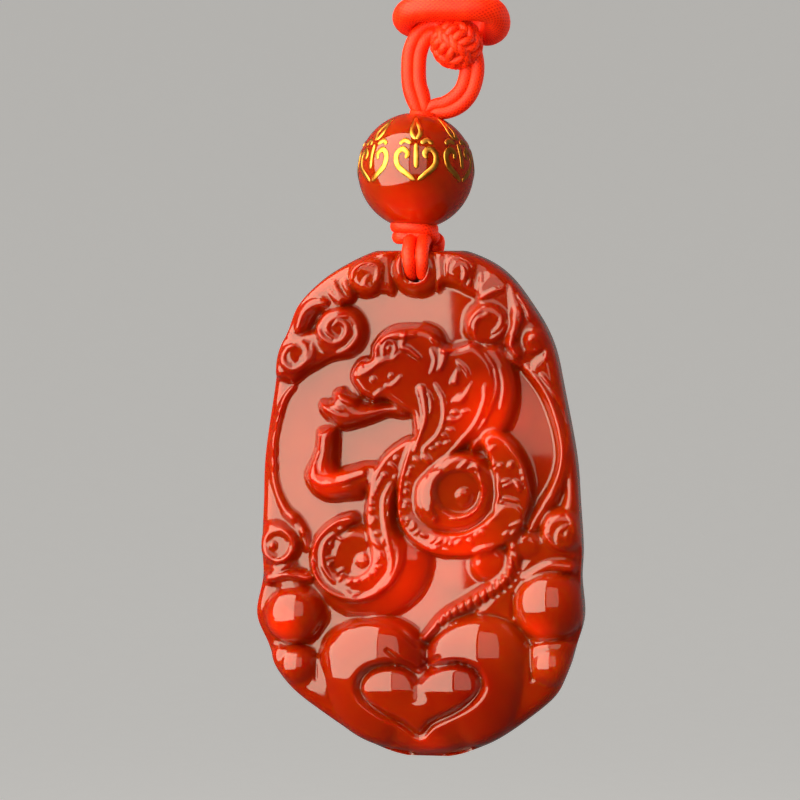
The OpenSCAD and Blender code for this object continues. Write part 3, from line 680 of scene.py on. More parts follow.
# %% The snake's face
facet(0.24, [
    (-7.5, 13), (-7.2, 13.9), (-6.5, 14.6), (-5.3, 14.85), (-3.8, 14.7), (-4.7, 14.15), (-5.6, 13.4),
    (-6.3, 13.1)])
band(0.32, [(-4.4, 16.7, 0.2), (-3.8, 17.3, 0.3), (-2.6, 17.4, 0.38), (-1, 17.45, 0.2)])
band(0.26, [(-2, 17.4, 0.3), (-2.2, 16.7, 0.26), (-2.2, 16.1, 0.3), (-1.6, 15.9, 0.24), (-0.5, 15, 0.14)])
FACE_LINES = [  # step, half width, places
    (0.2, 0.2, [(-4.1, 15.2), (-4.15, 16.1), (-3.7, 16.8), (-3.1, 16.6), (-2.9, 15.9), (-3.2, 15.3)]),
    (0.2, 0.22, [(-3.65, 16.15), (-3.6, 15.9)]),
    (0.18, 0.2, [(-4.95, 15.1), (-4.95, 16), (-4.6, 17)]),
    (0.2, 0.22, [(-4.9, 14.9), (-4, 14.85), (-3.2, 14.9), (-2.6, 15.5)]),
    (0.2, 0.26, [(-5.25, 12.9), (-5.1, 12.7)]),
    (0.16, 0.2, [(-3.4, 13.2)]),
    (0.2, 0.2, [(-3.9, 12.15), (-3.3, 12.2), (-2.8, 12.6), (-2.4, 13.1)]),
    (0.22, 0.22, [(-7.9, 11.9), (-7.4, 11.3), (-6.7, 10.9)]),
    (0.24, 0.24, [(-6.7, 9.9), (-6, 10.1), (-5.4, 10.6), (-5, 11.1), (-4.4, 11.7)]),
    (0.3, 0.34, [(-9, 11.5), (-8.6, 10.9), (-7.9, 10.5), (-7.2, 10.1)]),
    (0.22, 0.22, [(-10.6, 10), (-9.8, 9.55), (-9, 9.1), (-8, 8.9)]),
    (0.2, 0.2, [(-9.6, 10.1), (-9, 9.8), (-8.6, 9.5)])]
for row in FACE_LINES:
    stroke(*row)
for points in [[(-7.0, 13.7), (-6.7, 13.35)], [(-6.1, 14.2), (-5.6, 14.15), (-5.0, 14.6)]]:
    cut(0.2, 0.16, points)
print("face drawn")

# %% Hood, neck and bar
for outline in [
        [(3.5, 14.1), (3.5, 12.35), (2.65, 12.35), (2.9, 13.1)],
        [(2.7, 10.5), (3.4, 11.2), (4.1, 11.4), (5.0, 12.7), (4.4, 11.1), (4.0, 10.4), (3.4, 10.2)],
        [(2.1, 8.5), (2.5, 8.95), (3.3, 8.85), (4.0, 9.2), (3.6, 8.6), (2.9, 8.35)],
        [(1.5, 7.3), (2.0, 7.2), (2.4, 6.7), (1.8, 6.75)]]:
    facet(0.26, outline)
band(0.28, [(0.8, 17.1, 0.14), (1.6, 16.3, 0.24), (2, 15.6, 0.34), (1.9, 14.8, 0.36), (1.6, 13.9, 0.2)])
band(0.34, [(2.1, 15.8, 0.3), (2.9, 16, 0.3), (3.8, 16.3, 0.26), (4.8, 16.5, 0.18)])
band(0.26, [
    (6.2, 8.5, 0.16), (5.3, 7.2, 0.24), (4.2, 6.2, 0.28), (3, 5.4, 0.28), (1.8, 4.3, 0.3),
    (0.5, 3.2, 0.3)])
band(0.28, [
    (-0.35, 11.8, 0.4), (-0.15, 11, 0.38), (0, 10, 0.33), (0.05, 9, 0.28), (-0.15, 8, 0.24),
    (-0.6, 6.8, 0.2), (-1.05, 5.4, 0.16)])
band(0.28, [
    (-10.9, 7, 0.2), (-11.1, 5.4, 0.26), (-11.65, 4, 0.38), (-11.6, 2.8, 0.52), (-10.6, 2.3, 0.6),
    (-9, 2.5, 0.55), (-7.6, 2.9, 0.52), (-6.6, 3.2, 0.46)])
HOOD_LINES = [  # step, half width, places
    (0.18, 0.2, [(0.75, 15.9), (1.1, 15), (1.05, 14.3), (0.7, 13.5)]),
    (0.12, 0.2, [(3.4, 14.7), (4.2, 13.9), (4.6, 13.1)]),
    (0.24, 0.22, [(5.4, 16.4), (6.2, 15.6), (6.9, 14.6), (7.3, 13.6), (7.45, 12.3), (7.35, 11.2),
        (7, 10.2), (6.4, 8.9), (6, 8.2)]),
    (0.16, 0.2, [(6.15, 12.2), (6.2, 11), (5.9, 9.8), (5.2, 8.2), (4.1, 6.8), (2.5, 5.1), (1.2, 4),
        (0.2, 3), (-0.3, 2.2)]),
    (0.14, 0.26, [(7.7, 14), (8.1, 12.6), (8.1, 11.4), (7.8, 9.8)]),
    (0.14, 0.26, [(8.7, 14.3), (9.2, 12.9), (9.4, 11.6), (9.3, 10.4)]),
    (0.16, 0.2, [(0.35, 11.5), (0.65, 10.6), (0.7, 9.8), (0.45, 8.8)]),
    (0.18, 0.2, [(1.1, 12.3), (1.75, 11.2), (2, 10.2), (2.05, 9.3), (1.9, 8.3), (1.5, 7.3), (1, 6.6),
        (0.2, 5.9), (-0.1, 5.4), (0.2, 4.9), (0.7, 4.4)]),
    (0.18, 0.2, [(2.8, 9.4), (3.4, 9.35)]),
    (0.18, 0.2, [(3.8, 9.4), (4.5, 9.5)]),
    (0.18, 0.22, [(2.3, 7.65), (3, 7.4)]),
    (0.18, 0.22, [(1.3, 6.15), (1.6, 5.9)]),
    (0.16, 0.2, [(2.1, 6.1), (2.5, 6.3)]),
    (0.2, 0.26, [(0.5, 5.6), (1, 5.6)]),
    (0.2, 0.22, [(-0.2, 4.9), (0.1, 4.5), (0.5, 4.1)]),
    (0.22, 0.22, [(-1.5, 5.6), (-1.95, 4.1), (-2.4, 2.4), (-2.65, 0.6), (-2.7, -0.8), (-2.3, -2.4)]),
    (0.18, 0.2, [(0, 2.9), (-0.6, 2.1), (-0.85, 0.9), (-0.8, -0.8)])]
for row in HOOD_LINES:
    stroke(*row)
print("hood drawn")

# %% Coils, dish and pearl
sink(0.5, 3.5, 1.1, 2.35)
relief = relief + egg(0.3, 4.2, 0.8, (0.85, 0.9), (0.9, 1.1)) + egg(0.35, -6.2, -5.8, (0.75, 0.7), (0.7, 0.7))
for outline in [
        [(4.3, 3.5), (4.9, 4.1), (5.5, 4.45), (5.8, 3.9), (5.7, 3.2), (5.3, 3.5)],
        [(9.0, 2.5), (9.7, 2.3), (10.0, 1.1), (9.4, 1.4)],
        [(8.6, 4.2), (9.2, 4.4), (9.1, 3.6), (8.7, 3.6)]]:
    facet(0.26, outline)
band(0.3, [
    (1.6, 3.3, 0.3), (0.75, 2.5, 0.5), (0.35, 1.3, 0.6), (0.3, 0.1, 0.6), (0.5, -0.9, 0.52),
    (0.9, -1.6, 0.4)])
band(0.28, [
    (-2.9, -3.2, 0.22), (-2.6, -4.2, 0.34), (-2.5, -5.4, 0.38), (-2.75, -6.6, 0.38), (-3.4, -7.8, 0.35),
    (-4.4, -8.8, 0.32), (-6, -9.7, 0.3), (-7.4, -9.95, 0.28), (-9.2, -9.5, 0.3), (-10.6, -8.6, 0.27),
    (-11.4, -7.4, 0.22), (-11.7, -6, 0.18)])
COIL_LINES = [  # step, half width, places
    (0.26, 0.24, [(2.8, -1.6), (3.8, -1.5), (4.8, -1), (5.5, -0.3), (5.9, 0.8), (5.9, 1.8), (5.7, 2.8),
        (5.4, 3.6)]),
    (0.16, 0.2, [(1, 1.2), (1, 0), (1.7, -1.1)]),
    (0.16, 0.22, [(8.2, 6.8), (9, 5.4), (9.9, 4.1), (10.3, 2.6), (10.8, 1), (10.9, -0.9)]),
    (0.25, 0.24, [(7.6, 2.5), (7.5, 1.6), (7.6, 0.8), (7.3, -0.1), (7.2, -0.8)]),
    (0.25, 0.26, [(3, -3.5), (4.3, -3.2), (5.1, -2.7), (5.9, -2.3), (6.3, -2.6)]),
    (0.2, 0.24, [(3.4, 3.4), (4.6, 4.6)]),
    (0.25, 0.28, [(-3.5, 2), (-4.2, 0.5), (-4.2, -1.5), (-3.8, -4), (-3.4, -6), (-3.7, -7.4),
        (-5, -8.9)]),
    (0.2, 0.22, [(-3.3, 1.6), (-3.8, 0), (-3.6, -1.8), (-3, -3.1)]),
    (0.2, 0.22, [(-11.75, -6.2), (-11.4, -4.3), (-10.3, -2.8), (-8.7, -1.6), (-7.6, -1.2)]),
    (0.25, 0.45, [(-8.4, -1.6), (-7.5, -1.5), (-7.2, -2.6)]),
    (0.25, 0.24, [(-9.4, -3.2), (-10.3, -4), (-10.6, -5.4), (-10.4, -6.8), (-9.4, -8.2)]),
    (0.2, 0.22, [(-6.3, -0.5), (-6.1, -3)]),
    (0.2, 0.22, [(-8.3, -9.1), (-7.6, -9.5), (-6.8, -9.4)])]
for row in COIL_LINES:
    stroke(*row)
print("coils drawn")

# %% [markdown]
# ## Scales
# The belly of a snake is a ladder of plates. A carver marks them with short nicks by hand, and no two
# are alike, so each row here is one nick: its half width and its two ends. Only the rope of the tail
# is regular enough for a loop.

# %% Nicks along the belly
NICKS = [  # half width, then across and up of both ends
    (0.24, -2.95, 4.75, -2.95, 4.45), (0.18, -3.6, 4.1, -2.95, 3.35), (0.22, -4.3, 3, -4, 2.75),
    (0.18, -3.05, 2.8, -3.05, 2.4), (0.2, -4.5, 2.5, -4.9, 1.7), (0.2, -5.05, 1.35, -5.1, 1.3),
    (0.27, -5.35, 1, -5.2, 0.6), (0.2, -5.7, -0.05, -5.4, -0.15), (0.32, -5.6, -0.65, -5.55, -0.85),
    (0.3, -5.3, -1.6, -5.25, -1.9), (0.28, -5.65, -2.05, -5.5, -2.25), (0.18, -5.1, -3.1, -4.7, -3.2),
    (0.18, -4.3, -3.6, -4.25, -4.2), (0.32, -5.2, -3.9, -4.6, -4.6), (0.18, -4.7, -5.1, -4.4, -5.8),
    (0.18, -4.9, -5.8, -4.95, -6.2), (0.18, -4.95, -6.5, -4.6, -6.7), (0.28, -5.25, -7.1, -5.15, -7.3),
    (0.18, -5.85, -7.3, -5.6, -8), (0.36, -7, -7.9, -7, -8.2), (0.18, -7.5, -7.7, -7.9, -8.3),
    (0.2, -8.5, -7.4, -8.8, -7.9), (0.18, -8.5, -6.9, -9.3, -7.3), (0.26, -9.6, -6, -9.9, -6.4),
    (0.18, -10.2, -5.75, -9.6, -5.6), (0.34, -9.7, -4.1, -9.7, -4.5), (0.18, -9.2, -3.5, -8.6, -3.8),
    (0.18, -8.8, -2.75, -8.1, -2.65), (0.3, -1, 4.65, -0.55, 4.2), (0.2, -1.5, 3.65, -1.25, 3.6),
    (0.24, -1.6, 3.2, -1.75, 2.75), (0.2, -1.95, 1.9, -1.7, 1.85), (0.24, -1.95, 1.25, -1.95, 0.95),
    (0.2, -2, 0.15, -1.75, 0.1), (0.26, -2.1, -0.4, -1.95, -0.4), (0.18, -1.8, -1.65, -1.6, -1.7),
    (0.24, -1.25, -1.9, -0.95, -2.5), (0.2, -1.5, -2.6, -1.1, -2.6), (0.18, -0.5, -2.8, -1, -3.1),
    (0.18, -0.4, -3.1, 0.1, -3.45), (0.17, 0.75, -4, 1.1, -3.6), (0.17, 1, -4.3, 1.8, -3.7),
    (0.22, 0.85, -4.75, 1.4, -4.5), (0.17, 2.1, -4.2, 2.3, -3.8), (0.2, 2.65, -4.1, 2.65, -4.4),
    (0.18, 3.25, -4.35, 3.7, -3.8), (0.18, 4.6, -3.7, 4.8, -4.25), (0.2, 5.4, -3.1, 5.35, -3.5),
    (0.18, 5.85, -2.85, 6.1, -3.2), (0.22, 6.9, -1.75, 7.4, -1.3), (0.18, 6.9, 3.95, 7.2, 4.1),
    (0.17, 7, 3.6, 7.2, 3.3), (0.26, 7.75, 3.95, 7.95, 3.8), (0.17, 8, 2.2, 8.6, 2.35),
    (0.17, 8.2, 1.7, 9, 2.1), (0.17, 8.2, 0.6, 9.6, 0.15), (0.22, 7.9, 0.15, 7.95, 0.1),
    (0.24, 6.5, 5.25, 7.2, 5.85), (0.18, 8.2, -3.35, 8.6, -3), (0.18, 8.9, -2.35, 10.1, -1.9),
    (0.18, 8.9, -3.35, 9.3, -2.9), (0.24, 10.1, -3.75, 10.5, -3.4), (0.18, 10.5, -3.05, 11.1, -2.6),
    (0.17, 8, -4.1, 8.4, -4.6), (0.22, 8.95, -4.6, 8.95, -4.8), (0.26, 9.4, -5.4, 9.5, -5.8),
    (0.22, 6.45, -5, 7.1, -4.8), (0.22, 5.3, -5.75, 5.7, -5.4)]
for half, *ends in NICKS:
    stroke(0.2, half, [ends[:2], ends[2:]], taper=0.3)
ROPE = [(9.3, -6.2), (8.9, -7.4), (8.2, -8.2), (6.6, -9.4), (4.6, -10.4), (2.4, -11.7), (0.9, -13.0)]
ROPE_STEP = 0.85
rope = curve(ROPE, 12)
reach = lengths(rope)
for at in np.arange(0.3, reach[-1], ROPE_STEP):
    x, y = (np.interp(at, reach, rope[:, k]) for k in (0, 1))
    size = 0.25 + 0.35 * (1 - at / reach[-1])
    cut(0.3, 0.2, [(x - 0.3 * size, y + 1.3 * size), (x + 0.3 * size, y - 1.3 * size)])
print("scales set")

# %% Lines between heart, balls and tail
JOIN_LINES = [  # step, half width, places
    (0.25, 0.28, [(8.9, -5.9), (8.7, -7.2), (7.8, -8.4), (6.9, -9.2)]),
    (0.25, 0.28, [(0, -14.6), (1.4, -13.3), (3.6, -12.2)]),
    (0.2, 0.24, [(5, -5.2), (5.9, -4.7), (7.1, -4.4)])]
for row in JOIN_LINES:
    stroke(*row)
FURROWS = [  # depth, half width, places
    (0.25, 0.3, [(-11.7, -14.6), (-10.9, -13.4), (-9.3, -12.3), (-7, -12.1), (-4, -12.6), (-2.5, -13.3),
        (-1, -14.8)]),
    (0.3, 0.3, [(0, -14.9), (1.5, -13.4), (3.5, -12.4), (6, -11.7), (8.2, -12.2), (9.1, -13),
        (10.8, -14.9)]),
    (0.3, 0.28, [(10.8, -14.9), (12.2, -14.5), (14.4, -14.4), (15.8, -15)]),
    (0.3, 0.28, [(10.8, -14.9), (10.8, -16.7), (11, -18.4)]),
    (0.25, 0.26, [(9, -9.6), (9, -12)]),
    (0.3, 0.28, [(-3.8, -15.1), (-2.5, -16.1), (-1.6, -16.6), (-0.7, -17.2), (0.2, -16.6), (1.4, -15.9)]),
    (0.25, 0.26, [(-11.6, -15.6), (-11.4, -18.2)]),
    (0.25, 0.26, [(-15, -15), (-13.4, -14.8), (-12, -15.1)])]
for row in FURROWS:
    cut(*row)
print("joins drawn")

# %% [markdown]
# ## A last polish and the rounded edge
# The strokes get one light pass of the same polish. The rim of the stone then falls away in a
# quarter round.

# %% Round the rim
relief = softened(relief, 6)
rim = np.full(U.shape, 9.0)
closed = np.vstack([ring, ring[:1]])
p = np.stack([U.ravel(), V.ravel()], 1)
for a, b in zip(closed, closed[1:]):
    rim = np.minimum(rim, np.linalg.norm(beside(p, a, b)[1], axis=1).reshape(U.shape))
fall = np.clip(EDGE_R - rim, 0, None)
drop = EDGE_R - np.sqrt(EDGE_R ** 2 - fall ** 2)
Y = -GROUND - relief + drop
print("front runs from", Y.min().round(2), "to", Y.max().round(2))

# %% [markdown]
# ## The stone's body
# The grid primitive takes the height map as its shape. Its rim is then extruded back in edit mode:
# twice round the front's edge, once down the wall and twice round the back's bevel, and a last face
# closes the back. The hole is cut with a Boolean modifier, as a drill would.

# %% Build the stone
def draw_on(piece, move):
    """Extrude the selected rim of a piece in edit mode, and put its new points where move says."""
    bpy.ops.mesh.extrude_region_move()
    mesh = bmesh.from_edit_mesh(piece.data)
    for v in mesh.verts:
        if v.select:
            v.co = move(*v.co)
    bmesh.update_edit_mesh(piece.data)


stone = start(bpy.ops.mesh.primitive_grid_add, x_subdivisions=COLUMNS, y_subdivisions=ROWS, size=1)
bpy.ops.object.mode_set(mode="OBJECT")
stone.data.vertices.foreach_set("co", np.column_stack([U.ravel(), Y.ravel(), V.ravel()]).ravel())
stone.data.update()
bpy.ops.object.mode_set(mode="EDIT")
bpy.ops.mesh.select_all(action="SELECT")
bpy.ops.mesh.normals_make_consistent(inside=False)
bpy.ops.mesh.select_mode(type="EDGE")
bpy.ops.mesh.select_all(action="DESELECT")
bpy.ops.mesh.select_non_manifold(extend=False)
WALL = [  # way outwards and y: the front's edge, the side wall, and the bevel of the back
    (INSET, -GROUND + EDGE_R * 0.55), (0.0, -GROUND + EDGE_R * 1.1), (0.0, GROUND - 0.9),
    (-0.28, GROUND - 0.28), (-0.62, GROUND)]
for out, wall_y in WALL:
    def widen(x, y, z):
        r = math.hypot(x, z)
        return x * (r + out) / r, wall_y, z * (r + out) / r
    draw_on(stone, widen)
bpy.ops.mesh.edge_face_add()
bpy.ops.object.mode_set(mode="OBJECT")
print("stone has", len(stone.data.polygons), "faces")

# %% Drill the hole
HOLE_R, HOLE_UP = 1.2, 24.1
bpy.ops.mesh.primitive_cylinder_add(vertices=64, radius=HOLE_R, depth=20, location=(0, 0, HOLE_UP),
                                    rotation=(math.pi / 2, 0, 0))
drill = bpy.context.object
bpy.context.view_layer.objects.active = stone
boolean = stone.modifiers.new("hole", "BOOLEAN")
boolean.object, boolean.operation, boolean.solver = drill, "DIFFERENCE", "EXACT"
bpy.ops.object.modifier_apply(modifier="hole")
bpy.data.objects.remove(drill)
stone.data.transform(Matrix.Scale(MM, 4))
stone.location = STONE * MM
settle(stone, "carved_stone", agate, "stone", "agate", "pendant", angle=60)

# %% [markdown]
# ## The round bead
# The bead is a turned and polished ball of the same agate with a drilled bore that leans a little. A
# sphere primitive is opened at both poles, its two open rings are drawn in to the bore's width with
# a soft edge, and a bridge between them makes the bore.

# %% Make the bead
BEAD, LEAN, BEAD_R, BORE_R = np.array((-3.5, 0.0, -292.0)), math.radians(7), 6.0, 1.5
MOUTH_R = BORE_R + 0.2
MOUTH_UP = math.sqrt(BEAD_R ** 2 - MOUTH_R ** 2)
bead = start(bpy.ops.mesh.primitive_uv_sphere_add, segments=96, ring_count=64, radius=BEAD_R)
mesh = bmesh.from_edit_mesh(bead.data)
pole = [v for v in mesh.verts if math.hypot(v.co.x, v.co.y) < MOUTH_R]
bmesh.ops.delete(mesh, geom=pole, context="VERTS")
bmesh.update_edit_mesh(bead.data)
for r, down in ((BORE_R + 0.09, 0.03), (BORE_R + 0.02, 0.12), (BORE_R, 0.3)):
    def narrow(x, y, z):
        width = math.hypot(x, y)
        return x * r / width, y * r / width, math.copysign(MOUTH_UP - down, z)
    bpy.ops.mesh.select_all(action="DESELECT")
    bpy.ops.mesh.select_non_manifold(extend=False)
    draw_on(bead, narrow)
bpy.ops.mesh.select_all(action="DESELECT")
bpy.ops.mesh.select_non_manifold(extend=False)
bpy.ops.mesh.bridge_edge_loops()
bpy.ops.mesh.select_all(action="SELECT")
bpy.ops.mesh.normals_make_consistent(inside=False)
bpy.ops.object.mode_set(mode="OBJECT")
bead.data.transform(
    Matrix.Translation(Vector(BEAD * MM)) @ Matrix.Rotation(LEAN, 4, "Y") @ Matrix.Scale(MM, 4))
settle(bead, "round_bead", agate, "necklace", "agate", "bead")

# %% [markdown]
# ## The bead's ornament
# Seven small golden palmettes stand round the bead. One palmette is a few brush strokes. Each stroke
# is a thin crowned ribbon that lies on the ball, and the loop turns a copy round for each place.

# %% A mesh from points
def new_object(name, points, faces):
    """A mesh object from points in millimetres."""
    mesh = bpy.data.meshes.new(name)
    mesh.from_pydata((np.array(points) * MM).tolist(), [], faces)
    made = bpy.data.objects.new(name, mesh)
    bpy.context.scene.collection.objects.link(made)
    return made


def shape(name, points, faces):
    """A mesh object with its normals outwards."""
    made = new_object(name, points, faces)
    bpy.ops.object.select_all(action="DESELECT")
    bpy.context.view_layer.objects.active = made
    made.select_set(True)
    bpy.ops.object.mode_set(mode="EDIT")
    bpy.ops.mesh.select_all(action="SELECT")
    bpy.ops.mesh.normals_make_consistent(inside=False)
    bpy.ops.object.mode_set(mode="OBJECT")
    return made


print("mesh helpers ready")

# %% Paint the palmettes
PALMETTE = [  # half width, then places across and up, in millimetres
    (0.30, [(0.0, 3.0), (0.55, 3.7), (0.4, 4.5), (0.0, 5.0), (-0.4, 4.5), (-0.55, 3.7), (0.0, 3.0)]),
    (0.28, [(0.15, -1.2), (0.9, -0.6), (1.9, 0.3), (2.1, 1.4), (1.5, 2.0), (0.9, 1.6), (1.1, 1.0)]),
    (0.28, [(-0.15, -1.2), (-0.9, -0.6), (-1.9, 0.3), (-2.1, 1.4), (-1.5, 2.0), (-0.9, 1.6), (-1.1, 1.0)]),
    (0.26, [(0.0, 2.6), (0.0, 1.4), (0.0, 0.0)]),
    (0.24, [(0.5, 2.6), (1.3, 2.9), (1.9, 2.5)]),
    (0.24, [(-0.5, 2.6), (-1.3, 2.9), (-1.9, 2.5)])]
PALMETTES, BOLDER = 7, 1.25
SECTION = [  # share of the half width, lift off the ball
    (-1, -0.03), (-0.6, 0.04), (0, 0.06), (0.6, 0.04), (1, -0.03)]
points, faces = [], []
for turn in range(PALMETTES):
    for half, places in PALMETTE:
        line = curve(places, 6)
        side = np.gradient(line, axis=0)
        side = np.column_stack([-side[:, 1], side[:, 0]]) / (np.linalg.norm(side, axis=1)[:, None] + 1e-9)
        fade = np.sqrt(np.clip(1 - np.linspace(-1, 1, len(line)) ** 6, 0.02, 1))
        width = half * BOLDER * fade
        first = len(points)
        for shift, lift in SECTION:
            spot = line + side * (shift * width)[:, None]
            up = np.clip(spot[:, 1] / BEAD_R, -0.95, 0.95)
            angle = TURN + turn * math.tau / PALMETTES + spot[:, 0] / BEAD_R
            r = BEAD_R + lift
            level = np.sqrt(1 - up ** 2) * r
            points += list(np.column_stack([level * np.sin(angle), -level * np.cos(angle), up * r]))
        n = len(line)
        faces += [(first + k * n + i, first + k * n + i + 1, first + (k + 1) * n + i + 1,
                   first + (k + 1) * n + i) for k in range(4) for i in range(n - 1)]
        faces += [(first + 4 * n + i, first + 4 * n + i + 1, first + i + 1, first + i)
                  for i in range(n - 1)]
        faces += [tuple(first + k * n for k in range(5)),
                  tuple(first + k * n + n - 1 for k in reversed(range(5)))]
palmettes = shape("bead_palmettes", np.array(points) + BEAD, faces)
settle(palmettes, "bead_palmettes", gold, "necklace", "cord")

# %% [markdown]
# ## Cords
# Each cord is a tube along a smooth route. The tube keeps a map of millimetres round it and along
# it for the braid. A frame is carried along the route and turned as little as the route allows, so
# the braid never twists by itself.

# %% The tube maker
def carried(line):
    """The route's directions and two side directions at every point."""
    way = np.gradient(line, axis=0)
    way /= np.linalg.norm(way, axis=1)[:, None]
    side = np.cross(way[0], (0, 1, 0) if abs(way[0][1]) < 0.9 else (1, 0, 0))
    sides = []
    for w in way:
        side = side - (side @ w) * w
        side = side / np.linalg.norm(side)
        sides.append(side)
    sides = np.array(sides)
    return way, sides, np.cross(way, sides)


def tube(line, radius, sides=12):
    """Points, faces and map of a tube that is closed at both ends."""
    line = np.array(line, float)
    radius = np.broadcast_to(np.array(radius, float), len(line))
    one, two = carried(line)[1:]
    reach = lengths(line)
    a = np.arange(sides) * math.tau / sides
    spokes = np.cos(a)[None, :, None] * one[:, None] + np.sin(a)[None, :, None] * two[:, None]
    points = (line[:, None] + radius[:, None, None] * spokes).reshape(-1, 3)
    faces, maps = [], []
    turn = math.tau * radius.mean()
    for i in range(len(line) - 1):
        for k in range(sides):
            m = (k + 1) % sides
            faces.append((i * sides + k, i * sides + m, (i + 1) * sides + m, (i + 1) * sides + k))
            x0, x1 = turn * k / sides, turn * (k + 1) / sides
            maps.append([(x0, reach[i]), (x1, reach[i]), (x1, reach[i + 1]), (x0, reach[i + 1])])
    last = (len(line) - 1) * sides
    for cap in (tuple(reversed(range(sides))), tuple(range(last, last + sides))):
        faces.append(cap)
        maps.append([(0, 0)] * sides)
    return points, faces, maps


def cord_piece(name, tubes, node):
    """One piece from several tubes, with the map that the braid follows."""
    points, faces, maps = [], [], []
    for p, f, m in tubes:
        faces += [tuple(v + len(points) for v in face) for face in f]
        maps += m
        points += list(p)
    made = new_object(name, points, faces)
    layer = made.data.uv_layers.new(name="cord")
    layer.data.foreach_set("uv", np.array([xy for face in maps for xy in face]).ravel())
    settle(made, name, thread, "necklace", "cord", node)


print("tube maker ready")

# %% [markdown]
# ## The strands through the stone
# Two thin strands leave the knot under the bead, go down in front of the stone's top edge, through
# its hole and up again behind it.

# %% Tie strands and their knot
HOLE = STONE + (0, 0, HOLE_UP)
TIE = [  # across, back and up from the hole's middle, and radius
    (-0.1, -1.0, 3.2, 0.7), (-0.1, -2.4, 2.95, 0.7), (-0.1, -3.7, 1.8, 0.7), (0, -4.0, 0.8, 0.68),
    (-0.02, -3.3, -0.35, 0.6), (-0.04, -1.6, -0.52, 0.6), (-0.04, 1.6, -0.5, 0.6), (-0.02, 3.0, -0.3, 0.6),
    (0.2, 3.5, 1.0, 0.6), (0.6, 3.5, 1.8, 0.65), (0.9, 2.7, 3.0, 0.65), (0.8, 1.7, 3.35, 0.65)]
for side, node in ((-1, "tie_strand_left"), (1, "tie_strand_right")):
    rows = curve([(x + side * r, y, z, r) for x, y, z, r in TIE], 5)
    cord_piece("thin_" + node, [tube(rows[:, :3] + HOLE, rows[:, 3])], node)
WRAPS = [
    [(-1.2, 1.0, -5.6), (-1.9, 0.0, -5.7), (-1.5, -1.3, -5.7), (-0.2, -1.75, -5.8), (1.1, -1.4, -6.1),
     (1.75, -0.2, -6.7), (1.3, 1.0, -6.9), (0.2, 1.5, -6.9)],
    [(1.3, 0.9, -6.0), (0.3, 1.5, -6.4), (-1.0, 1.3, -6.7), (-1.75, 0.2, -6.8), (-1.3, -1.1, -6.8),
     (-0.2, -1.2, -6.8)],
    [(1.2, 1.0, -5.7), (1.6, -0.2, -6.1), (0.9, -1.3, -6.5), (-0.5, -1.4, -6.8)]]
cord_piece("gathering_knot", [tube(curve(w, 6) + BEAD, 0.77) for w in WRAPS], "tie_knot")
BUNDLE_FOOT, BUNDLE_TOP, BUNDLE_R = -6.3, 6.1, 1.38
bore = np.array([(math.sin(LEAN) * t, 0, math.cos(LEAN) * t)
                 for t in np.linspace(BUNDLE_FOOT, BUNDLE_TOP, 9)]) + BEAD
cord_piece("bore_bundle", [tube(bore, BUNDLE_R, 24)], "bore_cord")

# %% [markdown]
# ## The ring above the bead
# Each leg of the ring is a pair of strands that lie side by side. The legs meet over the bead and
# are closed by a round button knot. Of its one strand only the short crests show, where it comes over
# itself, so each crest is a small arched tube on a round core.

# %% The ring
RING_LEFT = [  # across and up from the bead's middle, and half the width of the pair
    (0.75, 5.7, 0.8), (0.5, 6.6, 1.1), (0.2, 7.6, 1.3), (-0.15, 8.8, 1.3), (-0.25, 10.4, 1.3),
    (-0.1, 12.2, 1.3), (0.6, 13.8, 1.25), (1.7, 14.6, 1.25), (3.0, 14.3, 1.25)]
RING_RIGHT = [
    (1.0, 5.6, 0.75), (1.9, 6.3, 1.05), (3.1, 6.5, 1.2), (4.3, 7.1, 1.3), (5.2, 8.1, 1.3),
    (5.7, 9.5, 1.3), (5.8, 10.8, 1.3), (5.6, 12.0, 1.3)]
for rows, node in ((RING_LEFT, "ring_cord_left"), (RING_RIGHT, "ring_cord_right")):
    rows = curve([(x, 0, z, r) for x, z, r in rows], 7)
    line = rows[:, :3] + BEAD
    out = np.cross(carried(line)[0], (0, 1, 0))
    half = rows[:, 3:] * 0.5
    pair = [tube(line + s * out * half * 0.8, rows[:, 3] * 0.6) for s in (-1, 1)]
    cord_piece("paired_" + node, pair, node)

# %% The button knot
BUTTON = BEAD + (4.3, -0.6, 13.0)
CRESTS, GOLDEN_ANGLE = 64, 2.39996  # this angle spreads points evenly on a ball
CORE_R, CORE_END = 2.3, 0.06
hand = np.random.default_rng(7)
crests = []
for i in range(CRESTS):
    height = 1 - 2 * (i + 0.5) / CRESTS
    turned = i * GOLDEN_ANGLE
    level = math.sqrt(1 - height ** 2)
    at = np.array([level * math.cos(turned), level * math.sin(turned), height])
    east = np.cross((0.3, 0.2, 1.0), at)
    east /= np.linalg.norm(east)
    slope = (0.9 if i % 2 else -0.8) + hand.normal(0, 0.25)
    ahead = math.cos(slope) * east + math.sin(slope) * np.cross(at, east)
    steps = np.linspace(-1.05, 1.05, 7)[:, None]
    crests.append(tube(BUTTON + at * (2.35 - 0.55 * steps ** 2) + ahead * steps * 0.95, 0.46, 8))
core = np.sin(np.linspace(CORE_END, math.pi - CORE_END, 14)) * CORE_R
up = np.cos(np.linspace(math.pi - CORE_END, CORE_END, 14)) * CORE_R
middle = np.column_stack([np.zeros((14, 2)), up])
cord_piece("round_button_knot", crests + [tube(middle + BUTTON, core, 24)], "button_knot")

# %% [markdown]
# ## The neck cord and the hitch
# The neck cord is a round braid on a core: four strands wind to the right and four to the left, and
# each passes over one and under the next. A sine on the distance from the middle gives over and
# under. The hitch over the ring is pressed smooth, so it is one tube with the woven finish.

# %% The braid and the hitch
PITCH, BRAID_STEP = 8.0, 0.6  # one whole turn, and the way between points


